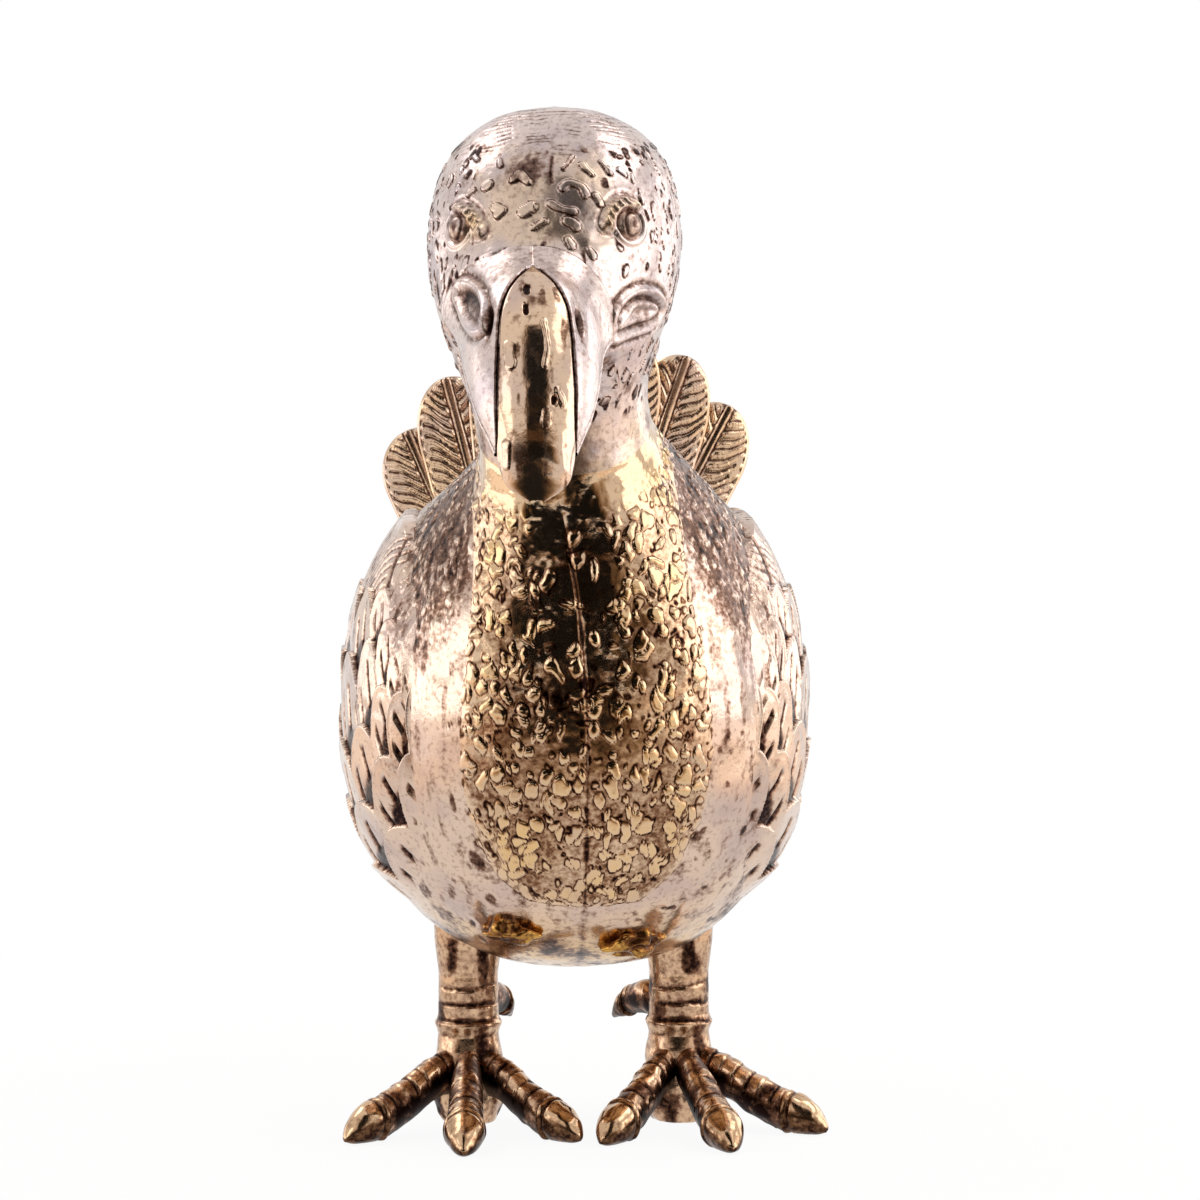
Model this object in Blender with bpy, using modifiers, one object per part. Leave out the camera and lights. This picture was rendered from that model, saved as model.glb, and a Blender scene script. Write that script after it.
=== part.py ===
# A standing dodo ornament in antiqued metal: hollow half shells for the body and head, and solid
# castings for the beak, wings, tail, legs and feet. It faces -Y and rests on z = 0.
# Sizes are in millimetres and angles in degrees, drawn for a bird DRAWN_HEIGHT tall. MM turns them into
# the scene's metres at the bird's real HEIGHT, so the whole ornament follows that one size.

import math

import bmesh
import bpy
import numpy as np
from mathutils import Matrix, Vector

HEIGHT = 313.5
DRAWN_HEIGHT = 313.5
MM = 0.001 * HEIGHT / DRAWN_HEIGHT

# Fits and walls
GAP = 0.3
WALL = 2.5
PLATE = 2.2

# Sections of the skin from the rump to the crown: back point (y, z), front point (y, z), half width.
SKIN_SECTIONS = (
    (103, 166, 100, 149, 13),
    (90, 187, 84, 110, 36),
    (64, 198, 58, 76, 55),
    (35, 204, 30, 58, 65.5),
    (8, 206, 0, 51, 68.8),
    (-12, 208, -34, 55, 67.5),
    (-24, 211, -64, 72, 62),
    (-32, 215, -84, 102, 53),
    (-37, 219, -92, 137, 43),
    (-40, 224, -92, 168, 33),
    (-42, 229, -90, 190, 27),
    (-43, 234, -90, 207, 25),
    (-42, 241, -94, 222, 26),
    (-38, 252, -103, 237, 30),
    (-33, 266, -111, 254, 34.8),
    (-32, 281, -112, 274, 36.2),
    (-36, 295, -107, 291, 33.3),
    (-46, 306, -97, 303, 26),
    (-60, 312, -85, 311, 14),
    (-72.4, DRAWN_HEIGHT, -73.6, DRAWN_HEIGHT, 0.6),
)
COLLAR = 11
SKIN_SQUARENESS = 2.3
COLLAR_GAP = 0.012
BODY_ROWS = 27
HEAD_ROWS = 14
SKIN_COLUMNS = 13
COLUMN_EASE = 0.35
ROUND_SIDES = 20
BALL_SEGMENTS = 14
BALL_RINGS = 8

# The neck leans towards -X and turns the head that way. Both grow from one section to another.
HEAD_TURN = -12.0
HEAD_LEAN = -7.8
NECK_Y = -68.0
TURN_START = 7.5
TURN_END = 12.5

SLEEVE_REACH = 0.8
SLEEVE_ROWS = 5
SLEEVE_GAP = 0.4

# Place of each eye on the skin. The sculptor set the left eye nearer to the beak.
EYE_PLACES = {"left": (15.2, 142.0), "right": (15.25, 134.0)}
EYE_RADIUS = 5.0
EYE_SUNK = 2.4

# Sections of the upper beak from the face to the tip of the hook: culmen (y, z), half width,
# edge (y, z), half width of the middle strip.
BEAK_SECTIONS = (
    (-104, 271, 21.5, -97, 251, 1.2),
    (-120, 269, 20.8, -112, 244, 3.0),
    (-137, 259, 19, -126, 235, 9.6),
    (-148, 241, 16, -138, 225, 10.8),
    (-153, 221, 11, -146, 214, 11),
    (-152, 204, 2, -151.5, 203, 2),
)
STRIP_END = 4.0
BEAK_X = -17.2
BEAK_SQUARENESS = 2.3
STRIP_GAP = 0.6
BEAK_ROWS = 16
CULMEN_COLUMNS = 7
SIDE_COLUMNS = 4

# Sections of the lower beak: centre (y, z), half width, half height.
LOWER_BEAK_SECTIONS = (
    (-97, 238, 17, 9),
    (-116, 231.5, 16, 8.2),
    (-131, 221, 12.5, 6),
    (-143, 211, 6, 3.4),
)
LOWER_BEAK_ROWS = 8
LOWER_BEAK_SIDES = 12

# Sections of the wing from its bend to its tip: place along the skin, middle angle, half angle.
WING_SECTIONS = (
    (7.5, 84, 9),
    (6.9, 90, 26),
    (6.0, 92, 44),
    (4.4, 89, 50),
    (2.8, 82, 38),
    (1.4, 72, 6),
)
WING_THICK = 2.5
WING_EDGE = 0.8
WING_ROWS = 17
WING_TAPER_ROWS = 3
# The wing's feathers lie in tiers whose upper edges stand proud and zigzag along the wing, turn about.
# The edges are counted down in sevenths of the wing's height.
TIER_TOPS = (0, 2, 3, 4, 5, 6)
TIER_COUNT = 7
TIER_STEP = 1.4
TIER_ZIGZAG = 0.24
TIER_LIP = 0.12

# Tail plumes: tips (x, z). All lie on one curved sheet, and each pair is one layer further back.
PLUME_TIPS = ((-50, 209), (-37, 227), (-17, 239), (5, 244), (25, 242), (44, 234), (59, 217))
PLUME_FOOT_SPREAD = 9.6
PLUME_FOOT_Z = 161.0
PLUME_SHEET_Y = 106.0
PLUME_LEAN = 0.55
PLUME_CURL = 0.0055
PLUME_LAYER = 3.2
PLUME_THICK = 2.0
PLUME_DOME = 0.7
PLUME_HALF_WIDTH = 14.5
TANG_HALF_WIDTH = 2.4
TANG_SHARE = 0.12
BLADE_SHARE = 0.36
TIP_SHARE = 0.32
TIP_BLUNT = 0.01
PLUME_ROWS = 11
PLUME_COLUMNS = 5
SLOT_ROWS = 5
ROOT_CENTRE = (0, PLUME_SHEET_Y + 5, PLUME_FOOT_Z + 2)
ROOT_RADII = (37, 14, 11)

# Legs, as a turned profile of radius and height from the sole's middle on into the belly.
LEG_X = 32.8
LEG_Y = 0.0
LEG_PROFILE = (
    (0, 0),
    (7.5, 0),
    (8.5, 1),
    (11, 7),
    (11.3, 12),
    (10.4, 20),
    (9.4, 28),
    (10, 31.5),
    (9.4, 34),
    (9.2, 47),
    (10.4, 57),
    (11, 72),
    (0, 72),
)
SPIGOT_RADIUS = 5.0
SPIGOT_FOOT = 45.0
SPIGOT_TOP = 67.0
# Beads of braze on the belly ahead of the legs, by their places on the skin
BEAD_PLACES = {"left": (5.7, 163.5), "right": (5.6, 169.0)}
BEAD_RADII = (9, 8, 5.5)
BEAD_SUNK = 1.5

# Feet: turn of each foot, and the angle and reach of each toe from the ankle to its claw tip.
FOOT_TURN = {"left": -3.0, "right": 13.0}
TOES = {"inner": (-45, 50), "middle": (0, 57), "outer": (45, 52)}
CLAW_LENGTH = 13.5
# Sections of a front toe: share of its length, height of the centre, half width, half height.
TOE_SECTIONS = (
    (0.16, 18, 3.9, 7),
    (0.45, 15, 4.9, 6.6),
    (0.72, 10, 5.4, 6.5),
    (1.0, 6.1, 5.6, 6.6),
)
CLAW_SECTIONS = (
    (0.0, 6.1, 6.3, 6.6),
    (0.35, 5.6, 6.0, 6.0),
    (0.75, 4.0, 3.8, 4.0),
    (1.0, 2.0, 0.8, 0.9),
)
HIND_TOE_ANGLE = 158.0
HIND_TOE_LENGTH = 24.0
HIND_TOE_SECTIONS = (
    (0.2, 35, 5.0, 5.4),
    (0.6, 37, 5.2, 5.6),
    (1.0, 35, 4.4, 4.6),
)
HIND_CLAW_LENGTH = 9.0
HIND_CLAW_SECTIONS = (
    (0.0, 34.8, 4.8, 4.8),
    (0.5, 32.5, 3.6, 3.8),
    (1.0, 28.5, 0.8, 0.9),
)
TOE_ROWS = 8
CLAW_ROWS = 6
TUBE_SIDES = 10

# Linear colour and roughness of each metal as it shows in the photo.
METALS = {
    "antiqued bronze": ((0.62, 0.45, 0.36), 0.28),
    "polished bronze": ((0.74, 0.55, 0.42), 0.18),
    "golden bronze": ((0.46, 0.30, 0.14), 0.34),
    "bright brass": ((0.78, 0.57, 0.31), 0.2),
    "braze": ((0.52, 0.33, 0.11), 0.3),
    "dark patina": ((0.09, 0.055, 0.04), 0.45),
}

for old in list(bpy.data.objects):
    bpy.data.objects.remove(old)

parts = bpy.data.collections.new("dodo ornament")
cutters = bpy.data.collections.new("dodo cutters")
for collection in (parts, cutters):
    bpy.context.scene.collection.children.link(collection)


def metal(name):
    colour, roughness = METALS[name]
    material = bpy.data.materials.get(name)
    if material is None:
        material = bpy.data.materials.new(name)
        material.use_nodes = True
        shader = material.node_tree.nodes["Principled BSDF"]
        shader.inputs["Base Color"].default_value = (*colour, 1)
        shader.inputs["Roughness"].default_value = roughness
        shader.inputs["Metallic"].default_value = 1
    return material


def empty(name, place=(0, 0, 0), turn=0.0, parent=None):
    frame = bpy.data.objects.new(name, None)
    frame.location = Vector(place) * MM
    frame.rotation_euler.z = math.radians(turn)
    frame.parent = parent
    parts.objects.link(frame)
    return frame


root = empty("dodo_frame")
beak_frame = empty("beak_frame", (BEAK_X, 0, 0), parent=root)


def place(name, mesh, finish=None, parent=root):
    # A piece with a finish is a part, and one without is a cutter.
    obj = bpy.data.objects.new(name, mesh)
    obj.parent = parent
    if finish:
        mesh.materials.append(metal(finish))
        parts.objects.link(obj)
    else:
        cutters.objects.link(obj)
        obj.hide_render = True
        obj.display_type = "WIRE"
    return obj


def boolean(obj, cutter, operation="DIFFERENCE"):
    modifier = obj.modifiers.new(operation.lower(), "BOOLEAN")
    modifier.operation = operation
    modifier.solver = "EXACT"
    modifier.object = cutter


def solidify(obj, thickness):
    modifier = obj.modifiers.new("thickness", "SOLIDIFY")
    modifier.thickness = thickness * MM
    modifier.offset = 0
    modifier.use_even_offset = True


def mesh_of(form):
    mesh = bpy.data.meshes.new("shape")
    form.to_mesh(mesh)
    form.free()
    return mesh


def quads(form, points, ring=False):
    # Quads over an array of points, and its rows of corners. A ring closes each row on itself.
    rows = [[form.verts.new(point * MM) for point in row] for row in points]
    for near, far in zip(rows, rows[1:]):
        for j in range(0 if ring else 1, len(near)):
            form.faces.new((near[j - 1], far[j - 1], far[j], near[j]))
    return rows


def sheet_mesh(points):
    form = bmesh.new()
    quads(form, points)
    return mesh_of(form)


def split_mesh(form):
    # A cutter and the piece it follows split their bent faces alike, across the shorter diagonal.
    bmesh.ops.triangulate(form, faces=form.faces, quad_method="SHORT_EDGE")
    return mesh_of(form)


def ring_mesh(points):
    # Closed solid through rings of points, with the first and last rings capped.
    form = bmesh.new()
    rows = quads(form, points, ring=True)
    form.faces.new(rows[0])
    form.faces.new(rows[-1])
    bmesh.ops.recalc_face_normals(form, faces=form.faces)
    return split_mesh(form)


def wall_mesh(outer, inner, ring=False):
    # Closed wall between two grids of points: both grids, and a rim that joins their borders.
    form = bmesh.new()
    grids = [quads(form, points, ring) for points in (outer, inner)]
    if ring:
        edges = [[rows[end] for rows in grids] for end in (0, -1)]
    else:
        edges = [[border(rows) for rows in grids]]
    for first, second in edges:
        for j in range(len(first)):
            form.faces.new((first[j - 1], first[j], second[j], second[j - 1]))
    bmesh.ops.recalc_face_normals(form, faces=form.faces)
    return split_mesh(form)


def border(rows):
    right = [row[-1] for row in rows[1:-1]]
    left = [row[0] for row in rows[1:-1]]
    return rows[0] + right + rows[-1][::-1] + left[::-1]


def ball_mesh(radii, centre):
    form = bmesh.new()
    shape = Matrix.Translation(Vector(centre) * MM) @ Matrix.Diagonal((*(Vector(radii) * MM), 1))
    counts = {"u_segments": BALL_SEGMENTS, "v_segments": BALL_RINGS}
    bmesh.ops.create_uvsphere(form, radius=1, matrix=shape, **counts)
    return mesh_of(form)


def cylinder_mesh(radius, foot, top):
    form = bmesh.new()
    middle = Matrix.Translation((0, 0, (foot + top) / 2 * MM))
    sizes = {"radius1": radius * MM, "radius2": radius * MM, "depth": (top - foot) * MM}
    bmesh.ops.create_cone(form, cap_ends=True, segments=ROUND_SIDES, matrix=middle, **sizes)
    return mesh_of(form)


def turned_piece(name, profile, finish=None, parent=root):
    # A profile of radius and height, turned about Z.
    mesh = bpy.data.meshes.new(name)
    corners = [(radius * MM, 0, height * MM) for radius, height in profile]
    mesh.from_pydata(corners, [(i, i + 1) for i in range(len(corners) - 1)], [])
    obj = place(name, mesh, finish, parent)
    screw = obj.modifiers.new("turn", "SCREW")
    screw.steps = ROUND_SIDES
    screw.render_steps = ROUND_SIDES
    screw.use_merge_vertices = True
    screw.merge_threshold = 0.0001
    screw.use_normal_calculate = True
    return obj


def spline(rows, at):
    # Catmull-Rom curve through the rows: place 0 is the first row, 1 the second, and so on.
    rows = np.asarray(rows, float)
    ends = (2 * rows[:1] - rows[1:2], 2 * rows[-1:] - rows[-2:-1])
    padded = np.vstack([ends[0], rows, ends[1]])
    at = np.asarray(at, float)
    first = np.clip(at.astype(int), 0, len(rows) - 2)
    f = (at - first)[..., None]
    a, b, c, d = (padded[first + step] for step in range(4))
    bend = (2 * a - 5 * b + 4 * c - d) * f**2 + (3 * b - a - 3 * c + d) * f**3
    return b + ((c - a) * f + bend) / 2


def squared(value, squareness):
    return np.sign(value) * np.abs(value) ** (2 / squareness)


def smooth_step(value):
    value = np.clip(value, 0, 1)
    return value * value * (3 - 2 * value)


def skin_point(u, v, side=1, seam=0.0):
    # Oval between the back and front points of section u, then turned about the neck with the head.
    # Angle v is 0 at the back and pi at the front, and seam keeps the points off the middle plane.
    row = spline(SKIN_SECTIONS, u)
    along = squared(np.cos(v), SKIN_SQUARENESS)
    x = row[..., 4] * squared(np.sin(v), SKIN_SQUARENESS)
    x = side * np.where(np.abs(x) < seam, seam, x)
    y = (row[..., 0] * (1 + along) + row[..., 2] * (1 - along)) / 2 - NECK_Y
    z = (row[..., 1] * (1 + along) + row[..., 3] * (1 - along)) / 2
    growth = smooth_step((u - TURN_START) / (TURN_END - TURN_START))
    turn = np.radians(HEAD_TURN) * growth
    turned_x = x * np.cos(turn) - y * np.sin(turn) + HEAD_LEAN * growth
    turned_y = x * np.sin(turn) + y * np.cos(turn) + NECK_Y
    return np.stack([turned_x, turned_y, z], axis=-1)


def normals(surface, a, b):
    step = 1e-3
    along = surface(a + step, b) - surface(a - step, b)
    across = surface(a, b + step) - surface(a, b - step)
    normal = np.cross(along, across)
    return normal / np.linalg.norm(normal, axis=-1, keepdims=True)


def skin(u, v, side=1, seam=0.0, out=0.0):
    # The skin moved out along its normal. The other side is the mirror image before the turn.
    normal = side * normals(lambda a, b: skin_point(a, b, side), u, v)
    return skin_point(u, v, side, seam) + out * normal


def skin_place(place_on_skin, side, out):
    section, angle = place_on_skin
    return skin(np.array(section), np.radians(angle), side, out=out)


def column_angles():
    # From the back seam to the front seam, closer together near the seams, where the oval turns fast.
    share = np.linspace(0, 1, SKIN_COLUMNS)
    return math.pi * share - COLUMN_EASE / 2 * np.sin(2 * math.pi * share)


def skin_rings(start, end, rows, out=0.0):
    # Whole rings of the skin, with the columns of both half shells.
    half = column_angles()
    turns = np.concatenate([half, 2 * math.pi - half[-2:0:-1]])
    return skin(*np.meshgrid(np.linspace(start, end, rows), turns, indexing="ij"), out=out)


def half_shell(name, start, end, rows, side):
    places = np.linspace(start, end, rows)
    grid = np.meshgrid(places, column_angles(), indexing="ij")
    outer = skin(*grid, side, GAP / 2)
    inner = skin(*grid, side, GAP / 2, -WALL)
    return place(name, wall_mesh(outer, inner), "antiqued bronze")


def tube_points(sections, start, length, direction, rows):
    # Upright ovals along a level direction, flattened where they rest on the ground.
    shares = np.array(sections)[:, 0]
    fine = spline(sections, np.linspace(0, len(sections) - 1, rows))
    reach = start + length * np.clip(fine[:, 0], shares[0], shares[-1])
    turns = np.linspace(0, 2 * math.pi, TUBE_SIDES, endpoint=False)
    forward = np.array([math.sin(direction), -math.cos(direction)])
    sideways = np.array([forward[1], -forward[0]])
    level = reach[:, None, None] * forward + (fine[:, 2, None] * np.cos(turns))[..., None] * sideways
    height = np.maximum(fine[:, 1, None] + fine[:, 3, None] * np.sin(turns), 0)
    return np.concatenate([level, height[..., None]], axis=-1)


# Cutters that the body and head leave in their neighbours
last = len(SKIN_SECTIONS) - 1
body_cutter = place("body_cutter", ring_mesh(skin_rings(0, COLLAR, BODY_ROWS, GAP)))
head_cutter = place("head_cutter", ring_mesh(skin_rings(COLLAR, last, HEAD_ROWS, GAP)))

# Body, head and the sleeve inside the neck
for side, hand in ((1, "right"), (-1, "left")):
    body = half_shell(f"body_shell_{hand}", 0, COLLAR - COLLAR_GAP, BODY_ROWS, side)
    bore = place(f"bore_{hand}", cylinder_mesh(SPIGOT_RADIUS + GAP, SPIGOT_FOOT, SPIGOT_TOP + WALL))
    bore.location = Vector((side * LEG_X, LEG_Y, 0)) * MM
    boolean(body, bore)

    head = half_shell(f"head_shell_{hand}", COLLAR + COLLAR_GAP, last, HEAD_ROWS, side)
    centre = skin_place(EYE_PLACES[hand], side, -EYE_SUNK)
    place(f"eye_{hand}", ball_mesh([EYE_RADIUS] * 3, centre), "dark patina")
    boolean(head, place(f"eye_cutter_{hand}", ball_mesh([EYE_RADIUS + GAP] * 3, centre)))

reach = (COLLAR - SLEEVE_REACH, COLLAR + SLEEVE_REACH, SLEEVE_ROWS)
outside = skin_rings(*reach, -WALL - SLEEVE_GAP)
inside = skin_rings(*reach, -WALL - SLEEVE_GAP - PLATE)
place("neck_sleeve", wall_mesh(outside, inside, ring=True), "golden bronze")


# Beak
def beak_points(places, angles):
    # Arch over the beak's edges: angle 0 is the culmen and a quarter turn either way is an edge.
    row = spline(BEAK_SECTIONS, places)
    over = squared(np.cos(angles), BEAK_SQUARENESS)
    x = row[..., 2] * squared(np.sin(angles), BEAK_SQUARENESS)
    y = row[..., 3] + (row[..., 0] - row[..., 3]) * over
    z = row[..., 4] + (row[..., 1] - row[..., 4]) * over
    return np.stack([x, y, z], axis=-1)


def strip_angle(places):
    # Angle of the middle strip's edge. Past the strip's end, the strip is the whole arch.
    row = spline(BEAK_SECTIONS, places)
    share = np.where(places < STRIP_END, np.clip(row[:, 5] / row[:, 2], 0, 1), 1)
    return np.arcsin(share ** (BEAK_SQUARENESS / 2))


def beak_plate(name, places, start, end, columns):
    angles = start[:, None] + (end - start)[:, None] * np.linspace(0, 1, columns)
    along = np.broadcast_to(places[:, None], angles.shape)
    outer = beak_points(along, angles)
    thick = np.minimum(PLATE, spline(BEAK_SECTIONS, along)[..., 2:3] / 2)
    inner = outer - thick * normals(beak_points, along, angles)
    boolean(place(name, wall_mesh(outer, inner), "polished bronze", beak_frame), head_cutter)


places = np.linspace(0, len(BEAK_SECTIONS) - 1, BEAK_ROWS)
beak_plate("beak_culmen", places, -strip_angle(places), strip_angle(places), CULMEN_COLUMNS)
places = places[places < STRIP_END - STRIP_GAP / 2]
edge = strip_angle(places) + STRIP_GAP / spline(BEAK_SECTIONS, places)[:, 2]
quarter = np.full_like(edge, math.pi / 2)
beak_plate("beak_side_right", places, edge, quarter, SIDE_COLUMNS)
beak_plate("beak_side_left", places, -quarter, -edge, SIDE_COLUMNS)

fine = spline(LOWER_BEAK_SECTIONS, np.linspace(0, len(LOWER_BEAK_SECTIONS) - 1, LOWER_BEAK_ROWS))
turns = np.linspace(0, 2 * math.pi, LOWER_BEAK_SIDES, endpoint=False)
x = fine[:, 2, None] * np.cos(turns)
y = np.broadcast_to(fine[:, 0, None], x.shape)
z = fine[:, 1, None] + fine[:, 3, None] * np.sin(turns)
lower_mesh = ring_mesh(np.stack([x, y, z], axis=-1))
lower_beak = place("lower_beak", lower_mesh, "antiqued bronze", beak_frame)
boolean(lower_beak, head_cutter)


# Wings: patches of the skin that start inside it and are cut off the body
def tier_columns():
    # Columns from the wing's top to its foot: the thick upper edge of each tier, just below the thin foot
    # of the tier above. Each has a place, the way its zigzag swings, and a height over the mean thickness.
    # A column halfway down the tall first tier lets it follow the body.
    columns = [(TIER_TOPS[0], 0, TIER_STEP / 2), (TIER_TOPS[1] / 2, 0, 0)]
    for top in TIER_TOPS[1:]:
        way = 1 if top % 2 else -1
        columns += [(top - TIER_LIP, way, -TIER_STEP / 2), (top, way, TIER_STEP / 2)]
    columns.append((TIER_COUNT, 0, WING_EDGE - WING_THICK))
    return np.array(columns).T


fine = spline(WING_SECTIONS, np.linspace(0, len(WING_SECTIONS) - 1, WING_ROWS))
tier_places, ways, lifts = tier_columns()
row_numbers = np.arange(WING_ROWS)[:, None]
swing = np.where(row_numbers % 2, TIER_ZIGZAG, -TIER_ZIGZAG)
across = 2 * (tier_places + swing * ways) / TIER_COUNT - 1
angles = np.radians(fine[:, 1, None] + fine[:, 2, None] * across)
along = np.broadcast_to(fine[:, :1], angles.shape)
taper = smooth_step(row_numbers / WING_TAPER_ROWS)
thick = GAP + WING_EDGE + (WING_THICK + lifts - WING_EDGE) * taper
for side, hand in ((1, "right"), (-1, "left")):
    inner = skin(along, angles, side, out=-WALL / 2)
    outer = skin(along, angles, side, out=thick[..., None])
    boolean(place(f"wing_{hand}", wall_mesh(outer, inner), "antiqued bronze"), body_cutter)


# Tail
def plume_points(number, rows=PLUME_ROWS, extra=0.0):
    # A leaf on a straight midline in x and z. Its y follows the shared sheet, and its middle is domed.
    share = np.linspace(0, 1, PLUME_ROWS)[:rows, None]
    across = np.linspace(-1, 1, PLUME_COLUMNS)
    foot = np.array([PLUME_FOOT_SPREAD * number, PLUME_FOOT_Z - extra])
    tip = np.array(PLUME_TIPS[number + 3], float)
    midline = foot + (tip - foot) * share
    blade = smooth_step((share - TANG_SHARE) / BLADE_SHARE)
    rounding = np.sqrt(1 - np.clip((share - 1 + TIP_SHARE) / (TIP_SHARE + TIP_BLUNT), 0, 1) ** 2)
    half = (TANG_HALF_WIDTH + (PLUME_HALF_WIDTH - TANG_HALF_WIDTH) * blade) * rounding + extra
    heading = (tip - foot) / np.linalg.norm(tip - foot)
    x = midline[:, :1] + half * across * heading[1]
    z = midline[:, 1:] - half * across * heading[0]
    rise = z - PLUME_FOOT_Z
    layer = PLUME_LAYER * abs(number) - PLUME_DOME * blade * (1 - across**2)
    y = PLUME_SHEET_Y + PLUME_LEAN * rise - PLUME_CURL * rise**2 + layer
    return np.stack([x, y, z], axis=-1)


tail_root = place("tail_root", ball_mesh(ROOT_RADII, ROOT_CENTRE), "golden bronze")
boolean(tail_root, body_cutter)
for number in range(-3, 4):
    plume = place(f"tail_plume_{number + 4}", sheet_mesh(plume_points(number)), "antiqued bronze")
    solidify(plume, PLUME_THICK)
    slot = place(f"slot_{number + 4}", sheet_mesh(plume_points(number, SLOT_ROWS, GAP)))
    solidify(slot, PLUME_THICK + 2 * GAP)
    boolean(tail_root, slot)


# Legs and feet
grown_leg = [(radius + GAP if radius else 0, height) for radius, height in LEG_PROFILE]
for side, hand in ((1, "right"), (-1, "left")):
    foot = empty(f"foot_{hand}", (side * LEG_X, LEG_Y, 0), FOOT_TURN[hand], root)
    leg = turned_piece(f"leg_{hand}", LEG_PROFILE, "golden bronze", foot)
    boolean(leg, body_cutter)
    spigot = place(f"spigot_{hand}", cylinder_mesh(SPIGOT_RADIUS, SPIGOT_FOOT, SPIGOT_TOP), None, foot)
    boolean(leg, spigot, "UNION")
    leg_cutter = turned_piece(f"leg_cutter_{hand}", grown_leg, None, foot)

    centre = skin_place(BEAD_PLACES[hand], side, -BEAD_SUNK)
    bead = place(f"braze_bead_{hand}", ball_mesh(BEAD_RADII, centre), "braze")
    boolean(bead, body_cutter)

    for toe_name, (angle, reach) in TOES.items():
        direction = math.radians(side * angle)
        length = reach - CLAW_LENGTH
        points = tube_points(TOE_SECTIONS, 0, length, direction, TOE_ROWS)
        toe = place(f"toe_{hand}_{toe_name}", ring_mesh(points), "golden bronze", foot)
        boolean(toe, leg_cutter)
        points = tube_points(CLAW_SECTIONS, length + GAP, CLAW_LENGTH - GAP, direction, CLAW_ROWS)
        place(f"claw_{hand}_{toe_name}", ring_mesh(points), "bright brass", foot)

    direction = math.radians(-side * HIND_TOE_ANGLE)
    points = tube_points(HIND_TOE_SECTIONS, 0, HIND_TOE_LENGTH, direction, TOE_ROWS)
    toe = place(f"toe_{hand}_hind", ring_mesh(points), "golden bronze", foot)
    boolean(toe, leg_cutter)
    start = HIND_TOE_LENGTH + GAP
    points = tube_points(HIND_CLAW_SECTIONS, start, HIND_CLAW_LENGTH, direction, CLAW_ROWS)
    place(f"claw_{hand}_hind", ring_mesh(points), "bright brass", foot)

# The origin is under the middle of the whole ornament.
bpy.context.view_layer.update()
graph = bpy.context.evaluated_depsgraph_get()
corners = [
    obj.matrix_world @ Vector(corner)
    for obj in parts.objects
    if obj.type == "MESH"
    for corner in obj.evaluated_get(graph).bound_box
]
for axis in (0, 1):
    values = [corner[axis] for corner in corners]
    root.location[axis] = -(min(values) + max(values)) / 2
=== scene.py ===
import itertools

import bmesh
import bpy
import numpy as np
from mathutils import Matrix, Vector


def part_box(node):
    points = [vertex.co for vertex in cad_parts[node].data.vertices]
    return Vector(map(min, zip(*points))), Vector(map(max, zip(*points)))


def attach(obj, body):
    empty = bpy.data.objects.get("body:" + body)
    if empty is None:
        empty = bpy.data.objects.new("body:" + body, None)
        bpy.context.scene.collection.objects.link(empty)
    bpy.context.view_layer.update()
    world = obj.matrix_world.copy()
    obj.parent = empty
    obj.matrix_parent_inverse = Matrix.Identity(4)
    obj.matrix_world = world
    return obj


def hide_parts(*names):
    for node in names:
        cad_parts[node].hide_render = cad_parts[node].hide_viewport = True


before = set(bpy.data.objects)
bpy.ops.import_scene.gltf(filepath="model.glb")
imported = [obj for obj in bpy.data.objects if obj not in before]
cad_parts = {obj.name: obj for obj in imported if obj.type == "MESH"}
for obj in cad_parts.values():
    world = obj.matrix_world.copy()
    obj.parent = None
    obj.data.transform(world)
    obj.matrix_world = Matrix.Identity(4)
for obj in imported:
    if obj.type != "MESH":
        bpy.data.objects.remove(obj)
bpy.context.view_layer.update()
print("frame loaded:", len(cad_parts), "nodes")

# Shapes are drawn in millimetres about the bird's middle plane and the line of its legs.
mm = 0.001
weldWithin = 2e-6
sliver = 1e-7
legMiddles = [np.mean(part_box("leg_" + hand), axis=0) for hand in ("left", "right")]
origin = np.append(np.mean(legMiddles, axis=0)[:2], 0)
hands = ((1, "right"), (-1, "left"))


def smoothStep(value, low=0.0, high=1.0):
    # 0 below low, 1 above high, and 3t^2 - 2t^3 between
    t = np.clip((np.asarray(value, float) - low) / (high - low), 0, 1)
    return t * t * (3 - 2 * t)


def squared(value, power):
    # sign times |value| to the 2/power: a circle becomes a squarer oval
    return np.sign(value) * np.abs(value) ** (2 / power)


def spline(rows, at):
    # Catmull-Rom curve through the rows: place 0 is the first row, 1 the second, and so on
    rows = np.asarray(rows, float)
    padded = np.vstack([2 * rows[:1] - rows[1:2], rows, 2 * rows[-1:] - rows[-2:-1]])
    at = np.asarray(at, float)
    first = np.clip(at.astype(int), 0, len(rows) - 2)
    f = (at - first)[..., None]
    a, b, c, d = (padded[first + step] for step in range(4))
    return b + ((c - a) * f + (2 * a - 5 * b + 4 * c - d) * f**2 + (3 * b - a - 3 * c + d) * f**3) / 2


def chance(cells, seed):
    # Integer hash of lattice cells, from 0 to 1
    k = cells.astype(np.int64).astype(np.uint32)
    h = k[..., 0] * np.uint32(374761393) + k[..., 1] * np.uint32(668265263)
    h = h + k[..., 2] * np.uint32(2246822519) + np.uint32(seed * 40503 + 977)
    h = (h ^ (h >> np.uint32(13))) * np.uint32(1274126177)
    h = (h ^ (h >> np.uint32(15))) * np.uint32(2654435761)
    return (h ^ (h >> np.uint32(16))).astype(float) / 4294967295


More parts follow.
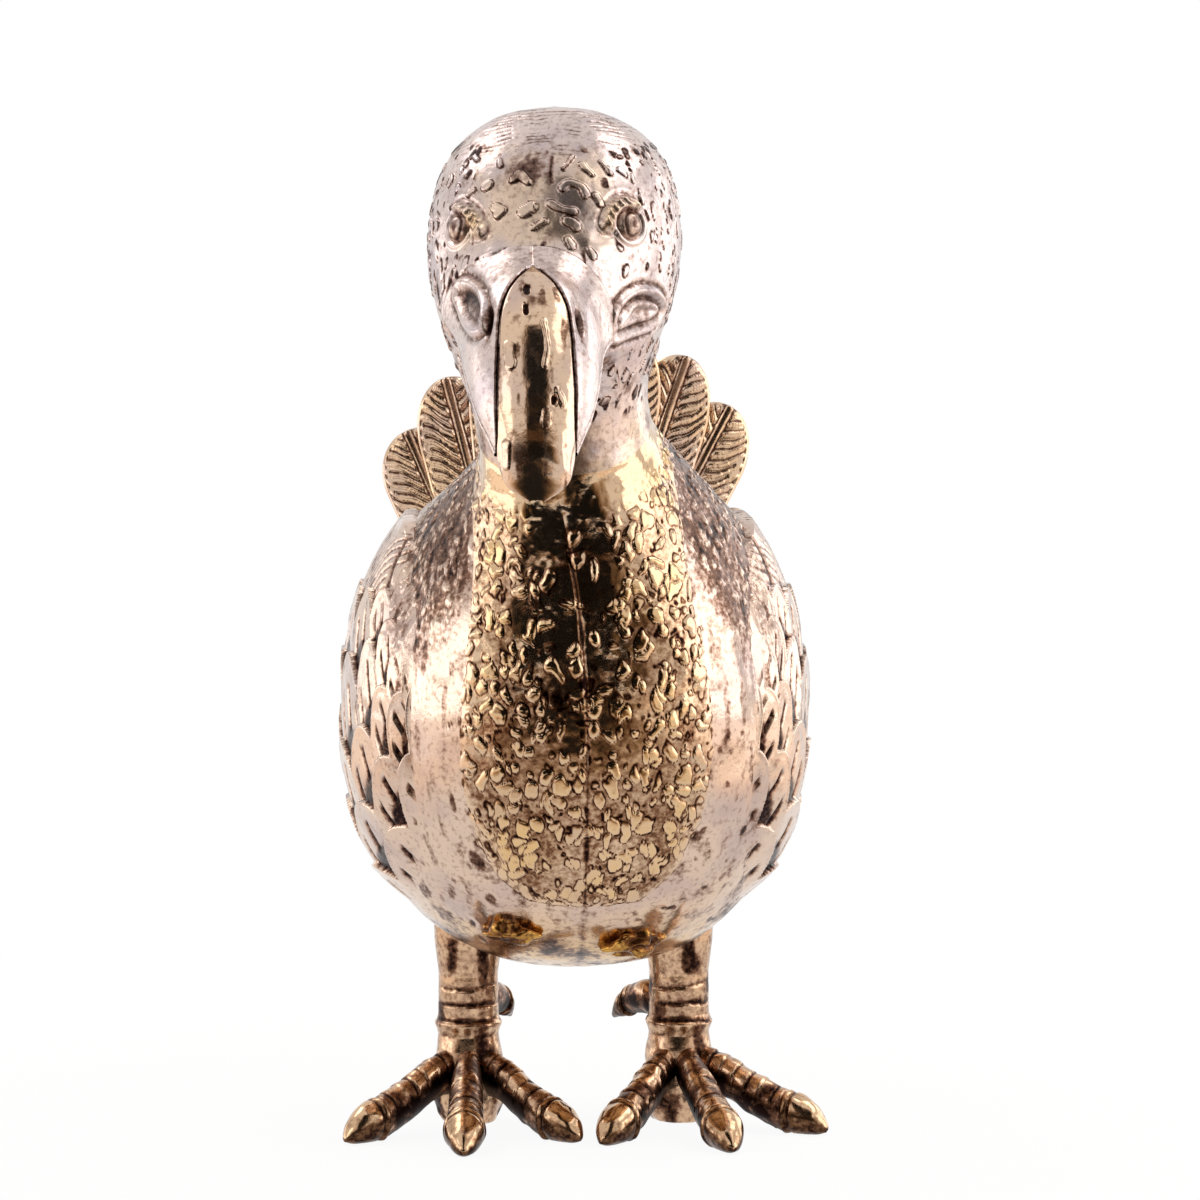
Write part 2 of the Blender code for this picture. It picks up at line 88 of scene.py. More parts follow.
def unevenness(points, size, seed=0):
    # Value noise from -1 to 1: random values on a lattice of this size, blended by smooth steps
    p = points / size
    base = np.floor(p)
    f = smoothStep(p - base)
    total = 0
    for corner in itertools.product((0, 1), repeat=3):
        total = total + np.prod(np.where(corner, f, 1 - f), axis=-1) * chance(base + corner, seed)
    return 2 * total - 1


def blotches(points, size, seed, low, high):
    # 0 where this noise is below low and 1 where it is above high
    return smoothStep(unevenness(points, size, seed), low, high)


def punchMarks(points, size, seed, warp=0.25, keep=1.0, fill=(0.3, 0.46), lean=0.0, bevel=0.07):
    # Islands about jittered lattice points: distance to the nearest point, against a radius of its own within
    # the fill. The space is first bent by noise, so that no island is round. Only the share to keep shows.
    # Returns 0 between and 1 on top, or less towards an island's upper end by the lean. The bevel is how far
    # inwards its edge rises.
    bend = np.stack([
        unevenness(points, size * 0.8, seed + k) + 0.2 * unevenness(points, size * 0.3, seed + k)
        for k in (11, 12, 13)
    ], axis=-1)
    p = points / size + warp * bend
    base = np.floor(p)
    near = np.full(p.shape[:-1], 9.0)
    far = near.copy()
    own = near.copy()
    rise = near.copy()
    for step in itertools.product((-1, 0, 1), repeat=3):
        cell = base + step
        jitter = np.stack([chance(cell, seed + k) for k in (1, 2, 3)], axis=-1)
        towards = p - cell - 0.1 - 0.8 * jitter
        distance = np.linalg.norm(towards, axis=-1)
        closer = distance < near
        far = np.where(closer, near, np.minimum(far, distance))
        own = np.where(closer, chance(cell, seed + 4), own)
        rise = np.where(closer, towards[..., 2], rise)
        near = np.where(closer, distance, near)
    radius = fill[0] + (fill[1] - fill[0]) * (own * 7.3 % 1)
    island = smoothStep(radius - near, -0.07, bevel) * smoothStep(far - near, 0.0, 0.1)
    return island * (own < keep) * (1 - lean * smoothStep(rise / radius, -0.4, 0.9))


def nearPath(points, path):
    # Distance in millimetres from each point to a polyline
    path = np.asarray(path, float)
    best = np.full(points.shape[:-1], 1e3)
    for a, b in zip(path, path[1:]):
        along = b - a
        t = np.clip(((points - a) @ along) / (along @ along), 0, 1)
        best = np.minimum(best, np.linalg.norm(points - a - t[..., None] * along, axis=-1))
    return best


def bump(distance, width):
    # Bell curve of a distance: 1 at 0 and falling to nothing past about two widths
    return np.exp(-((distance / width) ** 2))


def strokes(points, paths, shaky):
    # 1 within half a width of any path and 0 away from all, for pairs of a path and half its width
    each = [smoothStep(wide - nearPath(points, path) + shaky, -0.4, 0.4) for path, wide in paths]
    return np.max(each, axis=0)


def shingles(along, across, length, width, seed=0):
    # Feathers laid like roof tiles in staggered rows. A feather runs 1.6 rows from its root and its half
    # width is 0.62 width times (1 - share^3). The feather furthest past its root lies on top.
    # Returns share of its length, offset from its shaft (-1 to 1), and a random number of its own.
    share = np.zeros(along.shape)
    offset = np.zeros(along.shape)
    own = np.zeros(along.shape)
    row = np.floor(along / length)
    for back, step in itertools.product((0, 1), (-1, 0, 1)):
        rank = row - back
        stagger = 0.5 * (rank % 2)
        column = np.floor(across / width - stagger) + step
        cell = np.stack([rank, column, rank * 0 + 5], axis=-1)
        luck = chance(cell, seed)
        middle = (column + stagger + 0.5 + 0.12 * (luck - 0.5)) * width
        reach = (along / length - rank - 0.18 * (chance(cell, seed + 1) - 0.5)) / 1.6
        half = 0.62 * width * np.clip(1 - np.clip(reach, 0, 1) ** 3, 0.02, 1)
        aside = (across - middle) / half
        top = (np.abs(aside) < 1) & (reach < 1) & (reach > share)
        share = np.where(top, reach, share)
        offset = np.where(top, aside, offset)
        own = np.where(top, luck, own)
    return share, offset, own


def pathLength(points, axis):
    # Distance along the grid's rows or columns from their first point, in millimetres
    steps = np.linalg.norm(np.diff(points, axis=axis), axis=-1)
    return np.insert(np.cumsum(steps, axis=axis), 0, 0, axis=axis)


def runningMean(values, count):
    # Mean of each value and its neighbours, an odd count of them in all
    return np.convolve(np.pad(values, count // 2, mode="edge"), np.ones(count) / count, "valid")


def roundTurn(count):
    # Even angles of a whole turn, from 0
    return np.linspace(0, 2 * np.pi, count, endpoint=False)


def ballGrid(rows, columns):
    # Angle from the pole and angle round it, for each point of a ball
    return np.meshgrid(np.linspace(0, np.pi, rows), roundTurn(columns), indexing="ij")


def lifted(points, normal, out):
    # Points moved out along their normals, in millimetres
    return points + out[..., None] * normal


def gridNormals(points, flip=False):
    # Cross product of the steps along the rows and the columns, made one long
    normal = np.cross(np.gradient(points, axis=0), np.gradient(points, axis=1))
    normal = normal / np.maximum(np.linalg.norm(normal, axis=-1, keepdims=True), 1e-9)
    return -normal if flip else normal


def gridPiece(name, points, finish, nodes, worn=1.0, gilt=0.0, flip=False, ring=False, rim=None):
    # Mesh over a grid of points in the bird's millimetres. A ring closes each row on itself, and a rim gives
    # how far the first and last row and column are turned in along the normal. worn is 1 on polished heights
    # and 0 in recesses, and gilt is how golden the metal is.
    shape = points.shape[:2]
    values = {"worn": np.broadcast_to(worn, shape), "gilt": np.broadcast_to(gilt, shape)}
    if rim:
        normal = np.pad(gridNormals(points, flip), ((1, 1), (1, 1), (0, 0)), mode="edge")
        points = np.pad(points, ((1, 1), (1, 1), (0, 0)), mode="edge")
        for border, depth in zip((np.s_[:1], np.s_[-1:], np.s_[:, :1], np.s_[:, -1:]), rim):
            points[border] = points[border] - depth * normal[border]
        values = {key: np.pad(value, 1, mode="edge") for key, value in values.items()}
    rows, columns = points.shape[:2]
    index = np.arange(rows * columns).reshape(rows, columns)
    if ring:
        index = np.concatenate([index, index[:, :1]], axis=1)
    corners = [index[:-1, :-1], index[1:, :-1], index[1:, 1:], index[:-1, 1:]]
    faces = np.stack(corners[::-1] if flip else corners, axis=-1).reshape(-1, 4)
    mesh = bpy.data.meshes.new(name)
    mesh.vertices.add(rows * columns)
    mesh.vertices.foreach_set("co", (points * mm + origin).astype(np.float32).ravel())
    mesh.loops.add(faces.size)
    mesh.loops.foreach_set("vertex_index", faces.astype(np.int32).ravel())
    mesh.polygons.add(len(faces))
    mesh.polygons.foreach_set("loop_start", np.arange(0, faces.size, 4, dtype=np.int32))
    for key, value in values.items():
        layer = mesh.attributes.new(key, "FLOAT", "POINT")
        layer.data.foreach_set("value", np.ascontiguousarray(value, np.float32).ravel())
    mesh.update()
    # Rows drawn together to a point become one vertex, which closes the poles.
    form = bmesh.new()
    form.from_mesh(mesh)
    bmesh.ops.remove_doubles(form, verts=form.verts, dist=weldWithin)
    bmesh.ops.dissolve_degenerate(form, edges=form.edges, dist=sliver)
    form.to_mesh(mesh)
    form.free()
    mesh.shade_smooth()
    obj = bpy.data.objects.new(name, mesh)
    bpy.context.scene.collection.objects.link(obj)
    return dressed(obj, finish, nodes)


def dressed(obj, finish, nodes):
    # One material, the root body and the nodes that the piece stands for; the slot in the finish is not used
    material, slotName = finish
    obj.data.materials.clear()
    obj.data.materials.append(material)
    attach(obj, "root")
    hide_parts(*nodes)
    return obj


# Camera: a long lens, nearly level, a little to the left of the bird's front
view = {
    "target": (8.2, 0, 163), "distance": 1450, "azimuth": 3.0, "down": 5.0, "framed": 371.0, "sensor": 36.0,
}
azimuth, down = np.radians([view["azimuth"], view["down"]])
ahead = np.array([np.sin(azimuth) * np.cos(down), np.cos(azimuth) * np.cos(down), -np.sin(down)])
lens = bpy.data.cameras.new("camera")
lens.sensor_width = view["sensor"]
lens.lens = view["sensor"] * view["distance"] / view["framed"]
camera = bpy.data.objects.new("camera", lens)
camera.location = Vector(np.array(view["target"]) * mm + origin - ahead * view["distance"] * mm)
camera.rotation_euler = Vector(ahead).to_track_quat("-Z", "Y").to_euler()
bpy.context.scene.collection.objects.link(camera)
bpy.context.scene.camera = camera
bpy.context.scene.view_settings.view_transform = "Standard"
print("camera placed")


def linear(hexColour):
    # sRGB hex to the linear colour that a shader takes
    value = np.array([int(hexColour[k : k + 2], 16) / 255 for k in (1, 3, 5)])
    value = np.where(value <= 0.04045, value / 12.92, ((value + 0.055) / 1.055) ** 2.4)
    return (*value, 1.0)


def addNode(tree, kind, links=(), **settings):
    # One node: settings are its properties, and links pair an input with a value or another node's socket.
    item = tree.nodes.new("ShaderNode" + kind)
    for key, value in settings.items():
        setattr(item, key, value)
    for socket, value in dict(links).items():
        if isinstance(value, bpy.types.NodeSocket):
            tree.links.new(value, item.inputs[socket])
        else:
            item.inputs[socket].default_value = value
    return item


def maths(tree, operation, first, second=0.0):
    # Socket of an operation on one or two values
    return addNode(tree, "Math", {0: first, 1: second}, operation=operation).outputs[0]


def ramp(tree, value, low, high, atLow=0.0, atHigh=1.0, kind="LINEAR"):
    # Socket that goes from atLow to atHigh as the value goes from low to high
    links = {0: value, 1: low, 2: high, 3: atLow, 4: atHigh}
    return addNode(tree, "MapRange", links, interpolation_type=kind).outputs[0]


def mixed(tree, share, first, second):
    # Socket of a colour that goes from the first to the second as the share goes from 0 to 1
    return addNode(tree, "Mix", {0: share, 6: first, 7: second}, data_type="RGBA").outputs[2]


def noise(tree, place, size, detail, roughness=0.5):
    # Socket of noise whose largest lumps are about this many millimetres across
    links = {"Vector": place, "Scale": 1 / (size * mm), "Detail": detail, "Roughness": roughness}
    return addNode(tree, "TexNoise", links).outputs[0]


def bareTree(holder):
    # Emptied node tree of a material or of the world
    holder.use_nodes = True
    holder.node_tree.nodes.clear()
    return holder.node_tree


# Studio: white surroundings and soft boxes, and dark cards and a bright table that only reflections see
white = (1, 1, 1, 1)
studio = {
    "daylight": 0.8,
    # name: place, width, height, power
    "lamps": {
        "softBoxLeft": ((-1.45, -0.1, 0.22), 1.3, 0.6, 3.2),
        "softBoxRight": ((1.42, -0.3, 0.4), 1.3, 1.0, 6.4),
        "sideBoxLeft": ((-1.2, 0.75, 0.2), 0.7, 0.5, 1.1),
        "sideBoxRight": ((1.1, 0.9, 0.35), 0.8, 0.8, 2.6),
        "topBoxLeft": ((-0.85, 0.55, 1.4), 0.8, 0.7, 4.2),
        "topBoxRight": ((0.9, 0.2, 1.45), 0.9, 0.7, 4.8),
        "beakBoxLeft": ((-1.15, -0.97, 0.75), 0.5, 0.5, 1.0),
        "beakBoxRight": ((0.86, -0.56, 1.45), 0.6, 0.5, 1.2),
    },
    "lampAim": (0, 0, 0.16),
    # the paper glows this much at the bird and fully past it, and the fade starts and ends at these distances
    "floorGlow": 0.93, "floorFade": (0.16, 0.4), "floorSize": 6, "floorColour": "#f6f4f2",
    "cardColour": (1.0, 0.93, 0.87, 1),
    # towards a card's middle its soft edge turns from clear to this warm tint
    "edgeTint": (1.0, 0.54, 0.16, 1),
    # name: centre, width, height, tilt from upright, brightness, soft share of the side and other edges
    "cards": {
        "frontCard": ((-0.32, -1.75, 0.2), 4.1, 1.2, 0, 0.012, (0.62, 0.35)),
        "upperCard": ((0.06, -1.5, 1.45), 1.15, 2.0, 30, 0.015, (0.4, 0.28)),
        "tableLeft": ((-0.8, 0.0, 0.003), 1.2, 1.4, -90, 1.4, (0.6, 0.5)),
        "tableRight": ((0.8, -0.05, 0.003), 1.2, 1.4, -90, 1.6, (0.6, 0.5)),
        "tableCard": ((-0.06, -1.0, 0.004), 0.9, 1.7, -90, 0.02, (0.8, 0.35)),
    },
}

world = bpy.data.worlds.new("studio")
bpy.context.scene.world = world
tree = bareTree(world)
path = addNode(tree, "LightPath")
seen = maths(tree, "MAXIMUM", path.outputs["Is Camera Ray"], path.outputs["Is Glossy Ray"])
seen = maths(tree, "MAXIMUM", seen, path.outputs["Is Transmission Ray"])
fill = addNode(tree, "Background", {"Color": white, "Strength": studio["daylight"]})
backdrop = addNode(tree, "Background", {"Color": white, "Strength": 1.0})
both = addNode(tree, "MixShader", {0: seen, 1: fill.outputs[0], 2: backdrop.outputs[0]})
addNode(tree, "OutputWorld", {"Surface": both.outputs[0]})

for name, (place, width, height, power) in studio["lamps"].items():
    light = bpy.data.lights.new(name, "AREA")
    light.shape = "RECTANGLE"
    light.size = width
    light.size_y = height
    light.energy = power
    obj = bpy.data.objects.new(name, light)
    obj.location = place
    obj.rotation_euler = (Vector(studio["lampAim"]) - Vector(place)).to_track_quat("-Z", "Y").to_euler()
    bpy.context.scene.collection.objects.link(obj)


def stageSheet(name, centre, width, height, tilt, material, cardOnly):
    # A rectangle: width along X, height along Z leaned back by the tilt
    lean = np.radians(tilt)
    across = np.array([width / 2, 0, 0])
    upward = np.array([0, np.sin(lean) * height / 2, np.cos(lean) * height / 2])
    corners = [np.array(centre) + i * across + j * upward for i, j in ((-1, -1), (1, -1), (1, 1), (-1, 1))]
    mesh = bpy.data.meshes.new(name)
    mesh.from_pydata([tuple(corner) for corner in corners], [], [(0, 1, 2, 3)])
    mesh.materials.append(material)
    obj = bpy.data.objects.new(name, mesh)
    bpy.context.scene.collection.objects.link(obj)
    if cardOnly:
        obj.visible_camera = obj.visible_diffuse = obj.visible_shadow = False


def softEdge(tree, coordinate, middle, half, soft):
    # 1 within the card and a smooth step down to 0 at its edge, along one of its sides
    away = maths(tree, "ABSOLUTE", maths(tree, "SUBTRACT", coordinate, middle))
    return ramp(tree, away, half * (1 - soft), half, 1.0, 0.0, "SMOOTHSTEP")


for name, (centre, width, height, tilt, brightness, soft) in studio["cards"].items():
    material = bpy.data.materials.new(name)
    tree = bareTree(material)
    place = addNode(tree, "SeparateXYZ", {0: addNode(tree, "TexCoord").outputs["Object"]})
    # A card that lies flat is measured along Y, and one that stands along Z.
    lean = abs(np.sin(np.radians(tilt)))
    upright = 1 if lean > 0.9 else 2
    rise = height / 2 * (lean if upright == 1 else np.cos(np.radians(tilt)))
    across = softEdge(tree, place.outputs[0], centre[0], width / 2, soft[0])
    upward = softEdge(tree, place.outputs[upright], centre[upright], rise, soft[1])
    mask = maths(tree, "MULTIPLY", across, upward)
    glow = addNode(tree, "Emission", {"Color": studio["cardColour"], "Strength": brightness})
    clear = addNode(tree, "BsdfTransparent", {"Color": mixed(tree, mask, white, studio["edgeTint"])})
    both = addNode(tree, "MixShader", {0: mask, 1: clear.outputs[0], 2: glow.outputs[0]})
    addNode(tree, "OutputMaterial", {"Surface": both.outputs[0]})
    stageSheet(name, centre, width, height, tilt, material, True)

material = bpy.data.materials.new("paperFloor")
tree = bareTree(material)
path = addNode(tree, "LightPath")
seen = maths(tree, "MAXIMUM", path.outputs["Is Camera Ray"], path.outputs["Is Glossy Ray"])
place = addNode(tree, "TexCoord").outputs["Object"]
away = addNode(tree, "VectorMath", {0: place}, operation="LENGTH").outputs["Value"]
level = ramp(tree, away, *studio["floorFade"], studio["floorGlow"], 1.0, "SMOOTHSTEP")
paper = addNode(tree, "BsdfDiffuse", {"Color": linear(studio["floorColour"])})
glow = addNode(tree, "Emission", {"Color": white, "Strength": 1.0})
share = maths(tree, "MULTIPLY", seen, level)
both = addNode(tree, "MixShader", {0: share, 1: paper.outputs[0], 2: glow.outputs[0]})
addNode(tree, "OutputMaterial", {"Surface": both.outputs[0]})
stageSheet("paperFloor", (0, 0, 0), studio["floorSize"], studio["floorSize"], -90, material, False)
print("studio lit")

# Finishes. Cast bronze, darkened with a brown patina and then buffed: the heights come out as bright rose
# gold with a soft lilac film, the recesses stay nearly black and rough, and edges between are brown.
# rough holds the roughness in the recesses and on the heights.
finishes = {
    "antiquedBronze": {
        "rose": "#dac4b9", "gold": "#d8b17c", "film": "#b8a29c", "brown": "#7d5c4b", "deep": "#20100f",
        "rough": (0.34, 0.15), "filmSize": 22, "grainSize": 0.9, "grain": 0.12, "slot": "antiqued_bronze",
    },
    # The same metal on the breast, burnished between the marks until it mirrors
    "burnishedBronze": {
        "rose": "#d8bda9", "gold": "#d9b278", "film": "#bfa38c", "brown": "#80593f", "deep": "#1e0e0c",
        "rough": (0.26, 0.08), "filmSize": 22, "grainSize": 0.9, "grain": 0.08, "slot": "antiqued_bronze",
    },
    # The same metal on the head, rubbed with a coarser pad: a satin grey rose
    "satinBronze": {
        "rose": "#d2c0bb", "gold": "#cfae80", "film": "#b2a4a7", "brown": "#7d6257", "deep": "#2a1815",
        "rough": (0.42, 0.27), "filmSize": 16, "grainSize": 1.0, "grain": 0.16, "slot": "antiqued_bronze",
    },
    # The same metal on the beak, where the buffing went further
    "polishedBronze": {
        "rose": "#dabea9", "gold": "#d3ae7c", "film": "#bda59c", "brown": "#80604c", "deep": "#1f0f0c",
        "rough": (0.38, 0.12), "filmSize": 22, "grainSize": 0.8, "grain": 0.08, "slot": "polished_bronze",
    },
    # Legs and toes: less buffed, so that the brown patina covers most of them
    "goldenBronze": {
        "rose": "#dcbba0", "gold": "#c99f70", "film": "#ad8a74", "brown": "#76523e", "deep": "#1f100d",
        "rough": (0.45, 0.15), "filmSize": 7, "grainSize": 0.8, "grain": 0.14, "slot": "golden_bronze",
    },
    # Claws: bare bright brass
    "brightBrass": {
        "rose": "#d6b595", "gold": "#caa375", "film": "#b08c6e", "brown": "#7c593f", "deep": "#2a1711",
        "rough": (0.34, 0.1), "filmSize": 9, "grainSize": 0.7, "grain": 0.06, "slot": "bright_brass",
    },
    # Braze left as it froze: yellow brown and lumpy
    "brazeAsFrozen": {
        "rose": "#d2a860", "gold": "#c08a36", "film": "#9a6a38", "brown": "#704628", "deep": "#24130c",
        "rough": (0.4, 0.12), "filmSize": 4, "grainSize": 0.9, "grain": 0.1, "slot": "braze",
    },
    # The lower beak, which no buff reached
    "darkPatina": {
        "rose": "#a98672", "gold": "#8d6a4c", "film": "#5b4036", "brown": "#4a2f26", "deep": "#160a09",
        "rough": (0.5, 0.22), "filmSize": 5, "grainSize": 0.6, "grain": 0.12, "slot": "dark_patina",
    },
}
# How every finish is laid on: ranges of noise with what they add, and the levels of wear between two looks
patina = {
    "speckSize": 1.6, "specks": (0.3, 0.7, -0.34, 0.16), "film": (0.45, 0.68, 0.0, 0.75),
    "brown": (0.38, 0.8), "deep": (0.02, 0.45), "gloss": (0.1, 0.85), "grainHigh": 0.3,
}


def patinated(name, look):
    # worn picks deep, brown or polished colour; gilt turns rose to gold; a film of blotches lies over it.
    material = bpy.data.materials.new(name)
    material.use_nodes = True
    tree = material.node_tree
    shader = tree.nodes["Principled BSDF"]
    shader.inputs["Metallic"].default_value = 1
    place = addNode(tree, "TexCoord").outputs["Object"]
    worn, gilt = (addNode(tree, "Attribute", attribute_name=key).outputs["Fac"] for key in ("worn", "gilt"))
    rose, gold, film, brown, deep = (linear(look[key]) for key in ("rose", "gold", "film", "brown", "deep"))
    # Specks of patina left on the heights, and rubbed spots in the recesses
    speck = noise(tree, place, patina["speckSize"], 3, 0.6)
    level = maths(tree, "ADD", worn, ramp(tree, speck, *patina["specks"]))
    filmed = ramp(tree, noise(tree, place, look["filmSize"], 4, 0.6), *patina["film"])
    base = mixed(tree, filmed, mixed(tree, gilt, rose, gold), film)
    base = mixed(tree, ramp(tree, level, *patina["brown"]), brown, base)
    base = mixed(tree, ramp(tree, level, *patina["deep"]), deep, base)
    tree.links.new(base, shader.inputs["Base Color"])
    tree.links.new(ramp(tree, level, *patina["gloss"], *look["rough"]), shader.inputs["Roughness"])
    grain = noise(tree, place, look["grainSize"], 2)
    links = {"Height": grain, "Strength": look["grain"], "Distance": patina["grainHigh"] * mm}
    tree.links.new(addNode(tree, "Bump", links).outputs[0], shader.inputs["Normal"])
    return material, look["slot"]


metals = {name: patinated(name, look) for name, look in finishes.items()}
print("finishes made:", ", ".join(metals))

# Body and head: one skin from the rump to the crown, turned and leaned at the neck
skinForm = {
    # back point (y, z), front point (y, z), half width
    "sections": (
        (103, 166, 100, 149, 13), (90, 187, 84, 110, 36), (64, 198, 58, 76, 55), (35, 204, 30, 58, 65.5),
        (8, 206, 0, 51, 68.8), (-12, 208, -34, 55, 67.5), (-24, 211, -64, 72, 62), (-32, 215, -84, 102, 53),
        (-37, 219, -92, 137, 43), (-40, 224, -92, 168, 33), (-42, 229, -90, 190, 27), (-43, 234, -90, 207, 25),
        (-42, 241, -94, 222, 26), (-38, 252, -103, 237, 30), (-33, 266, -111, 254, 34.8),
        (-32, 281, -112, 274, 36.2), (-36, 295, -107, 291, 33.3), (-46, 306, -97, 303, 26),
        (-60, 312, -85, 311, 14), (-72.4, 313.5, -73.6, 313.5, 0.0),
    ),
    "collar": 11, "squareness": 2.3, "headTurn": -12.0, "headLean": -7.8, "neckY": -68.0, "turn": (7.5, 12.5),
}


def skinPoint(u, v, side):
    # Squared oval between the back and front points of section u: angle v is 0 at the back and pi in front.
    # Then a turn about the neck's axis and a lean, both growing by a smooth step from the breast to the head.
    row = spline(skinForm["sections"], u)
    along = squared(np.cos(v), skinForm["squareness"])
    x = side * row[..., 4] * squared(np.sin(v), skinForm["squareness"])
    y = (row[..., 0] * (1 + along) + row[..., 2] * (1 - along)) / 2 - skinForm["neckY"]
    z = (row[..., 1] * (1 + along) + row[..., 3] * (1 - along)) / 2
    growth = smoothStep(u, *skinForm["turn"])
    turn = np.radians(skinForm["headTurn"]) * growth
    turnedX = x * np.cos(turn) - y * np.sin(turn) + skinForm["headLean"] * growth
    turnedY = x * np.sin(turn) + y * np.cos(turn) + skinForm["neckY"]
    return np.stack([turnedX, turnedY, z], axis=-1)


def skinGrid(u, v, side):
    # Points and outward normals of the skin. The normal is the cross product of two small steps, which are
    # taken a little way from the poles and the crown.
    step = 1e-3
    pole = 0.004
    inside = np.clip(v, pole, np.pi - pole)
    low = np.minimum(u, len(skinForm["sections"]) - 1.02)
    along = skinPoint(low + step, inside, side) - skinPoint(low - step, inside, side)
    across = skinPoint(low, inside + step, side) - skinPoint(low, inside - step, side)
    normal = side * np.cross(along, across)
    return skinPoint(u, v, side), normal / np.linalg.norm(normal, axis=-1, keepdims=True)


def skinSpot(spot, side):
    # Point and outward normal at one pair of section and angle in degrees
    return skinGrid(np.array(spot[0]), np.radians(spot[1]), side)


def skinPath(places, side):
    # Smooth line on the skin through (section, angle in degrees) pairs
    fine = spline(places, np.linspace(0, len(places) - 1, 3 * len(places)))
    return skinPoint(fine[:, 0], np.radians(fine[:, 1]), side)


def skinGrain(points):
    # Unevenness that the body shares with the layer over its breast, and upright streaks of patina
    relief = 0.32 * unevenness(points, 11, 5) + 0.1 * unevenness(points, 4.5, 6)
    relief = relief + 0.07 * unevenness(points * (1, 1, 0.25), 2.2, 7)
    return relief, blotches(points * (1, 1, 0.22), 2.6, 9, 0.25, 0.7)


bodyLook = {
    "rows": (105, 175), "columns": 210, "split": 5.6,
    "scaleSize": 3.0, "scaleHigh": 0.45, "featherLong": 15, "featherWide": 11, "featherHigh": 0.9,
    "pitSize": 7.5, "pitDeep": 0.35, "ridgeHigh": 0.45,
    # middle of the smooth ridge between the breast and the wing, as (section, angle)
    "ridge": ((8.1, 100), (7.5, 112), (7.0, 122), (6.6, 134), (6.3, 146), (6.1, 157)),
}


def smallScales(points):
    # Scales that the shoulders share with the front of the wings
    return punchMarks(points * (1, 1, 0.8), bodyLook["scaleSize"], 21, 0.4, 0.95, (0.3, 0.46), 0.6)


def bodySkin(side, hand):
    # Skin from the rump to the collar: roof-tile feathers on the back, small scales on the shoulders,
    # a smooth ridge along each wing bend, and casting pits, dark spots and a golden tint on the belly
    look = bodyLook
    places = np.concatenate([
        np.linspace(0.0, look["split"], look["rows"][0], endpoint=False),
        np.linspace(look["split"], skinForm["collar"], look["rows"][1]),
    ])
    u, v = np.meshgrid(places, np.linspace(0, np.pi, look["columns"]), indexing="ij")
    points, normal = skinGrid(u, v, side)
    degrees = np.degrees(v)
    back = smoothStep(-degrees, -86, -62) * smoothStep(-u, -7.4, -6.2)
    share, aside, _ = shingles(points[..., 1], degrees * 0.9, look["featherLong"], look["featherWide"], 3)
    barbs = 0.10 * np.sin((share * 26 - 9 * np.abs(aside)) * 2) * (np.abs(aside) > 0.1)
    feather = look["featherHigh"] * (share - 0.55) + 0.45 * (1 - aside**2) - 0.4 * bump(aside, 0.09) + barbs
    shoulder = smoothStep(np.interp(u, (6.5, 8.2), (89, 112)) - degrees, -11, 11) * smoothStep(u, 6.2, 7.0)
    scales = smallScales(points)
    belly = smoothStep(degrees, 100, 125)
    pits = punchMarks(points * (0.8, 0.8, 1.2), look["pitSize"], 31, 0.4, 0.65, (0.08, 0.2)) * belly
    seam = 0.5 * bump(points[..., 0] * (u < 7.5) + 9 * (u >= 7.5), 0.5)
    ridge = bump(nearPath(points, skinPath(look["ridge"], side)), 6.5)
    low = smoothStep(-points[..., 2], -92, -62)
    out = back * feather + shoulder * look["scaleHigh"] * scales - look["pitDeep"] * pits - 0.3 * seam
    relief, streak = skinGrain(points)
    out = out + relief * (1 - 0.7 * back) + look["ridgeHigh"] * ridge
    worn = 0.92 - back * (0.75 * (1 - smoothStep(feather, -0.3, 0.45))) - 0.5 * shoulder * (1 - scales)
    worn = worn - 0.28 * streak * (1 - back)
    # Dark spots lie in drifts, and the right side has more of them.
    right = side > 0
    drifts = smoothStep(unevenness(points, 14, 13) + 0.25 * right, -0.1, 0.3)
    spots = blotches(points * (1, 1, 0.6), 3.0, 12, 0.42, 0.62) * drifts * belly
    clouds = blotches(points, 9, 8, 0.25 - 0.5 * low, 0.8)
    worn = worn - 0.8 * pits - 0.5 * seam - (0.22 + 0.3 * low) * clouds * belly - (0.45 + 0.2 * right) * spots
    gilt = 0.28 + 0.2 * smoothStep(-points[..., 2], -95, -60) + 0.4 * smoothStep(-points[..., 2], -78, -62)
    out = out - 1.2 * smoothStep(u, 10.2, 10.7)
    name = "bodyShell" + hand.title()
    nodes = ["body_shell_" + hand]
    points = lifted(points, normal, out)
    gridPiece(name, points, metals["antiquedBronze"], nodes, worn, gilt, side < 0, rim=(2, 0, 0, 0))


breastLook = {
    # (section, angle where the punched ground ends)
    "border": (
        (6.18, 172), (6.3, 157), (6.7, 144), (7.1, 134), (7.6, 127), (8.1, 122), (8.6, 116), (9.1, 104),
        (9.6, 80), (10.1, 35), (10.45, 0), (11, 0),
    ),
    "rows": 330, "columns": 230, "lift": 0.35, "dip": 0.35, "markHigh": 0.55, "seamWide": 0.55,
    # size of the close marks, and of the wide ones, which end this far from the seam
    "markSize": 4.5, "wideSize": 6.8, "wideEnd": 13.0, "smoothed": 25,
}


